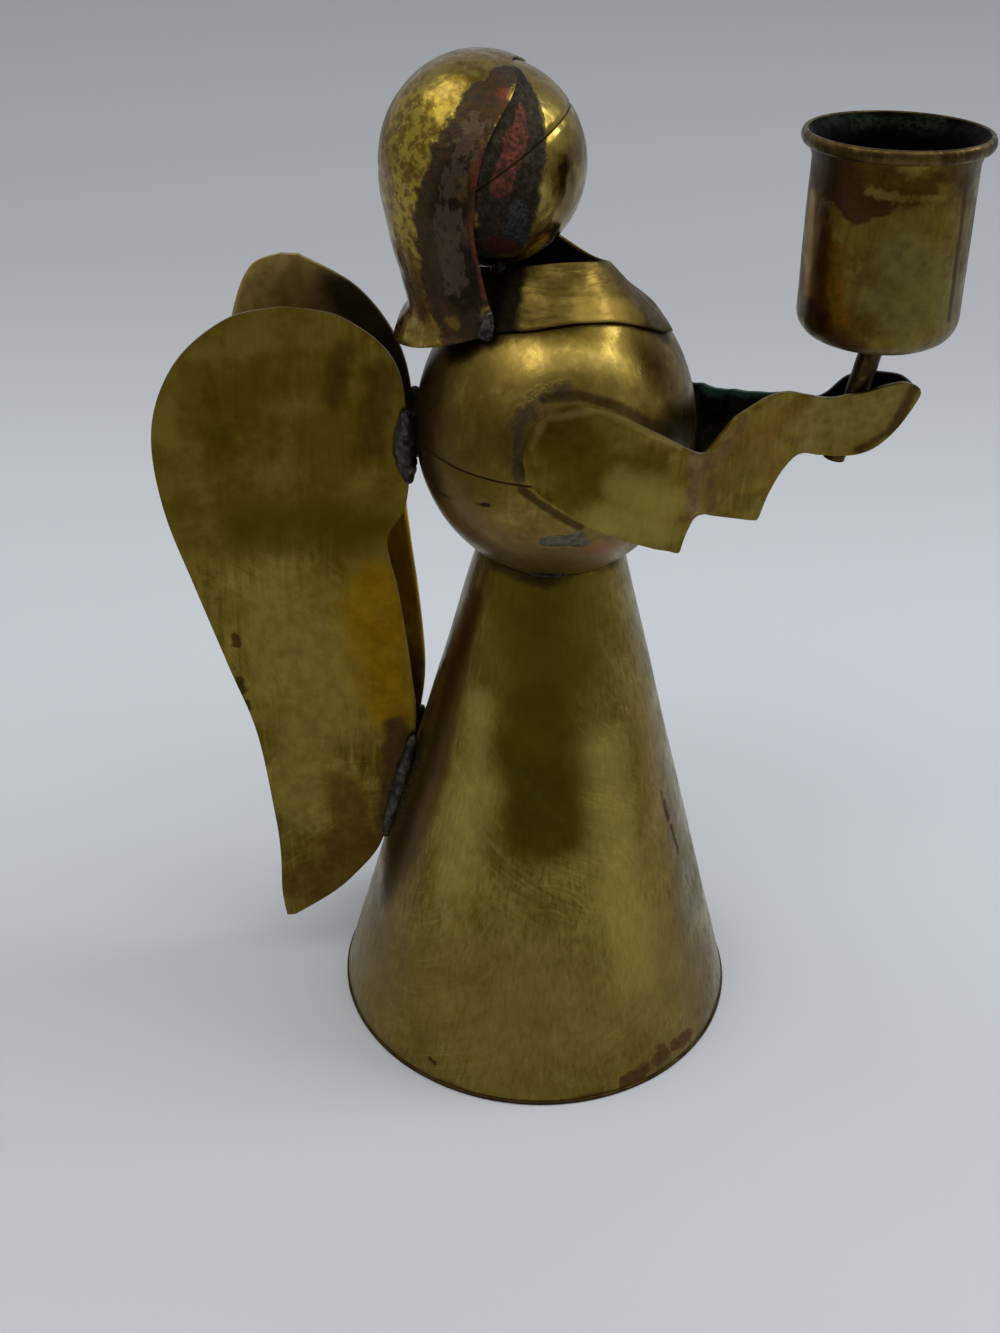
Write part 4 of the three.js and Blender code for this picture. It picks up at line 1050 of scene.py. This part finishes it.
def cupPiece():
    # the outline runs up the outside, round the bead and down the inside
    outer, corner, sheet = cup["radius"], cup["corner"], cup["sheet"]
    inner = outer - sheet
    outline = [(0, -cup["height"]), (4, -cup["height"])]
    outline += [(x + outer - corner, y + corner - cup["height"]) for x, y in arc(corner, -90, 0, 16)]
    outline += [(outer, mix(corner - cup["height"], -4, t / 8)) for t in range(1, 9)]
    wall = len(outline)
    outline += [(cup["beadFlat"] * x + outer + cup["beadOut"], y - cup["bead"])
                for x, y in arc(cup["bead"], -140, 150, 20)]
    lip = len(outline) - 3
    outline += [(outer + 0.3, -0.95), (outer - 0.3, -1.7), (inner, -3), (inner, -8), (inner, -20)]
    outline += [(x + outer - corner, y + corner - sheet - cup["floor"]) for x, y in arc(corner - sheet, 0, -90, 10)]
    outline += [(0, -cup["floor"])]
    piece = lathePiece("candle_cup_body", outline, cupPoint, "candle_cup", crease=60)
    for face in piece.data.polygons:
        row = face.index // around
        face.material_index = 0 if row < wall else 1 if row < lip else 2
    return piece


cupLook = {
    "tones": ((66, 50, 14), (84, 70, 24), (100, 90, 42), (46, 32, 8)),
    "cloud": 9, "mottle": 3.4, "brush": (1, 1, 5), "rough": (0.28, 0.44), "dent": 0.3, "dentSize": 6,
    "patches": [
        stainAndPaintedLight((42, 30, 6), leaned([(2.8, (42, 11, 163.6), (59, 7, 163.4)),
            (2, (43, 11.4, 160.6), (51, 11.8, 161.6))]), tone2=(56, 44, 11), soft=0.4, ragged=0.9, grain=2.4,
            amount=0.92, fleck=2, stretch=(1.6, 1.6, 1)),
        stainAndPaintedLight((52, 34, 20), leaned([(3.4, (36.4, 3, 163), (40.3, 9.1, 161)),
            (2.4, (40.3, 9.1, 160.6), (42, 10.4, 158.6)), (1.6, (42, 10.8, 159), (46, 11.9, 159.2))]),
            tone2=(42, 28, 9), soft=0.14, ragged=0.85, grain=2.2, amount=0.92, stretch=(1.5, 1.5, 1), rough=0.42,
            fleck=2),
        stainAndPaintedLight((92, 80, 34), leaned([(0.7, (43.5, 11.3, 161), (47, 11.9, 160.4)),
            (0.5, (47, 11.9, 160.4), (54, 11, 160.4))]), ragged=1.3, grain=1, amount=0.75, rough=0.3),
        stainAndPaintedLight((92, 58, 6), leaned([(1.6, (37, 4.4, 154), (38.2, 5.6, 146)),
            (1.7, (39.6, 8.4, 151), (41.4, 9.8, 142))]), tone2=(62, 40, 3), ragged=1, grain=2, amount=0.85,
            stretch=(1, 1, 2.5), fleck=1.4),
        stainAndPaintedLight((46, 30, 3), leaned([(1.3, (38.2, 7, 156), (38.9, 7.6, 144)),
            (1.6, (38.4, 6.6, 142), (42, 10, 139.4))]), tone2=(64, 44, 6), soft=0.4, ragged=0.9, grain=1.8,
            amount=0.85, stretch=(1, 1, 2.5), fleck=1.4),
        stainAndPaintedLight((96, 90, 44), leaned([(4.2, (50, 12, 152), (56, 9, 144)), (3.2, (47, 12, 146), (52, 11.4, 141))]),
            tone2=(78, 72, 36), soft=0.6, ragged=0.8, grain=3.4, amount=0.75, rough=0.4, fleck=2),
        stainAndPaintedLight((140, 106, 48), leaned([(1.1, (36.4, 3.2, 157), (37.2, 4.6, 144))]), soft=0.7, ragged=0.7, grain=1.8,
            amount=0.7, stretch=(1, 1, 2)),
        stainAndPaintedLight((40, 28, 8), leaned([(0.55, (57.2, 8.1, 163), (57.8, 7.4, 142))]), soft=0.6, grain=2, rough=0.5),
        stainAndPaintedLight((48, 32, 12), leaned([(2, (38.6, 7, 141), (44, 10, 138.4))]), soft=0.6, ragged=0.7, grain=2.4,
            amount=0.75),
    ],
}
beadLook = {
    "tones": ((44, 33, 13), (70, 58, 28), (98, 84, 44), (30, 24, 10)),
    "cloud": 7, "mottle": 2.2, "rough": (0.3, 0.46), "dent": 0.2, "dentSize": 4,
}
# painted shade: the inside of the cup is near black, with a green patch of real verdigris on the far lip
cupShadedInsideLook = {
    "tones": ((4, 3, 2), (8, 7, 4), (16, 20, 12), (2, 2, 1)),
    "cloud": 6, "mottle": 2.4, "rough": (0.55, 0.75), "dent": 0.3, "dentSize": 4, "speckShare": 0,
    "patches": [
        stainAndPaintedLight((24, 34, 21), [(1.5, (42, -12.6, 164.6), (54, -12.6, 164.6))], tone2=(7, 9, 6), soft=0.7, ragged=0.9,
            grain=1.8, amount=0.7, rough=0.7, fleck=1, flecks=(0.42, 0.58)),
    ],
}
cupLooks = {"cup brass": cupLook, "cup rim brass": beadLook, "cup inside painted shade and verdigris": cupShadedInsideLook}
cupMaterials = [agedBrass(name, look) for name, look in cupLooks.items()]
finish(cupPiece(), *cupMaterials)


def rodPiece():
    foot, top = at(*rod["foot"]), at(*rod["head"])
    turnTo = (top - foot).normalized().to_track_quat("Z", "Y")
    length = (top - foot).length

    def surface(u, v):
        turn = 2 * pi * u
        # the first and last rows close the ends
        reach = rod["radius"] * mm * (0.05 if v in (0, 1) else 1 - 0.12 * (min(v, 1 - v) < 0.02))
        reach *= 1 + 0.03 * wobble((2 * cos(turn), 2 * sin(turn), 20 * v), 2, 4.1)
        height = length * clamp(v * 1.04 - 0.02)
        return foot + turnTo @ Vector(ring(reach, turn, height))

    return gridPiece("cup_rod", surface, 40, 48, "cup_stem", wrap=True)


rodLook = {
    "tones": ((38, 28, 14), (56, 44, 22), (96, 80, 44), (24, 18, 10)),
    "cloud": 5, "mottle": 1.6, "brush": (1, 1, 6), "rough": (0.3, 0.5), "dent": 0.2, "dentSize": 3,
}
finish(rodPiece(), agedBrass("rod brass", rodLook))
print("cup and rod")


# solder

def solderBead(joint, material, path, radii, lump, seed):
    # a lumpy strip of solder along a path, thinner at both ends
    line = along(path)
    thick = along([(r, 0) for r in radii])

    def surface(u, v):
        turn = 2 * pi * u
        middle = line(v)
        ahead = (line(min(v + 0.02, 1)) - line(max(v - 0.02, 0))).normalized()
        across = ahead.cross(Vector((0.13, 1, 0.21))).normalized()
        aim = across * cos(turn) + ahead.cross(across) * sin(turn)
        reach = thick(v)[0] * sqrt(max(1 - (2 * v - 1) ** 8, 0.0004))
        spot = middle + aim * reach
        reach *= 1 + lump * wobble(spot, 1.5, seed) + 0.6 * lump * wobble(spot, 0.6, seed + 3)
        return at(*(middle + aim * reach))

    piece = gridPiece(f"bead_{joint}", surface, 28, 40, f"{joint}_solder", wrap=True, crease=80)
    finish(piece, material)


# joint, material, radii, lumps, seed, and the path on the angel's right
sideJoints = [
    ("wing_{}_torso", solderGrey, (0.9, 1.5, 1.9, 1.6, 0.8), 0.22, 2,
     [(-23.6, 4.6, 120.5), (-23.4, 4.9, 117.6), (-23.6, 5.0, 114.6), (-23.4, 4.9, 111), (-23.0, 4.8, 107.6)]),
    ("wing_{}_skirt", solderGrey, (0.9, 1.2, 1.3, 1.2, 0.9), 0.22, 4,
     [(-28.6, 4.9, 33), (-27.2, 4.9, 39), (-25.6, 4.9, 45.5), (-24.2, 4.9, 51), (-22.9, 4.8, 57)]),
    ("arm_{}_torso", solderDark, (0.5, 0.8, 0.5), 0.35, 6,
     [(0.6, 21.4, 127), (0.2, 22.0, 122), (0.6, 22.5, 118)]),
    ("hair_{}_torso", solderGrey, (0.6, 1.0, 1.2), 0.4, 8,
     [(-9.6, 12.2, 141.0), (-9.7, 12.3, 138.6), (-10.2, 12.3, 136.6)]),
    ("collar_{}_head", solderDark, (0.5, 0.9, 0.5), 0.4, 10,
     [(-8.6, 6.6, 144.6), (-8.5, 6.4, 145.8), (-8.4, 6.2, 146.8)]),
]
for side, name in ((1, "right"), (-1, "left")):
    for joint, material, radii, lump, seed, path in sideJoints:
        drop = arm["leftDrop"] if joint.startswith("arm") and side < 0 else 0
        placed = [(forward, side * out, up - drop) for forward, out, up in path]
        solderBead(joint.format(name), material, placed, radii, lump, seed + side)

solderBead("torso_skirt", solderDark, [(-2.6, 13.0, 97.4), (0.8, 13.2, 97.3), (4.0, 12.6, 97.5)],
           (0.3, 0.55, 0.3), 0.3, 13)
solderBead("cup_stem", solderDark, [(47.9, 0, 133.9), (48.2, 0, 135.3)], (2.5, 2.5), 0.12, 14)
solderBead("hand_stem", solderDark, [(44.6, 2.3, 120.6), (45.8, 0.4, 121.8), (47.2, -2.0, 120.6)],
           (0.9, 2.2, 0.9), 0.3, 15)
print("solder")
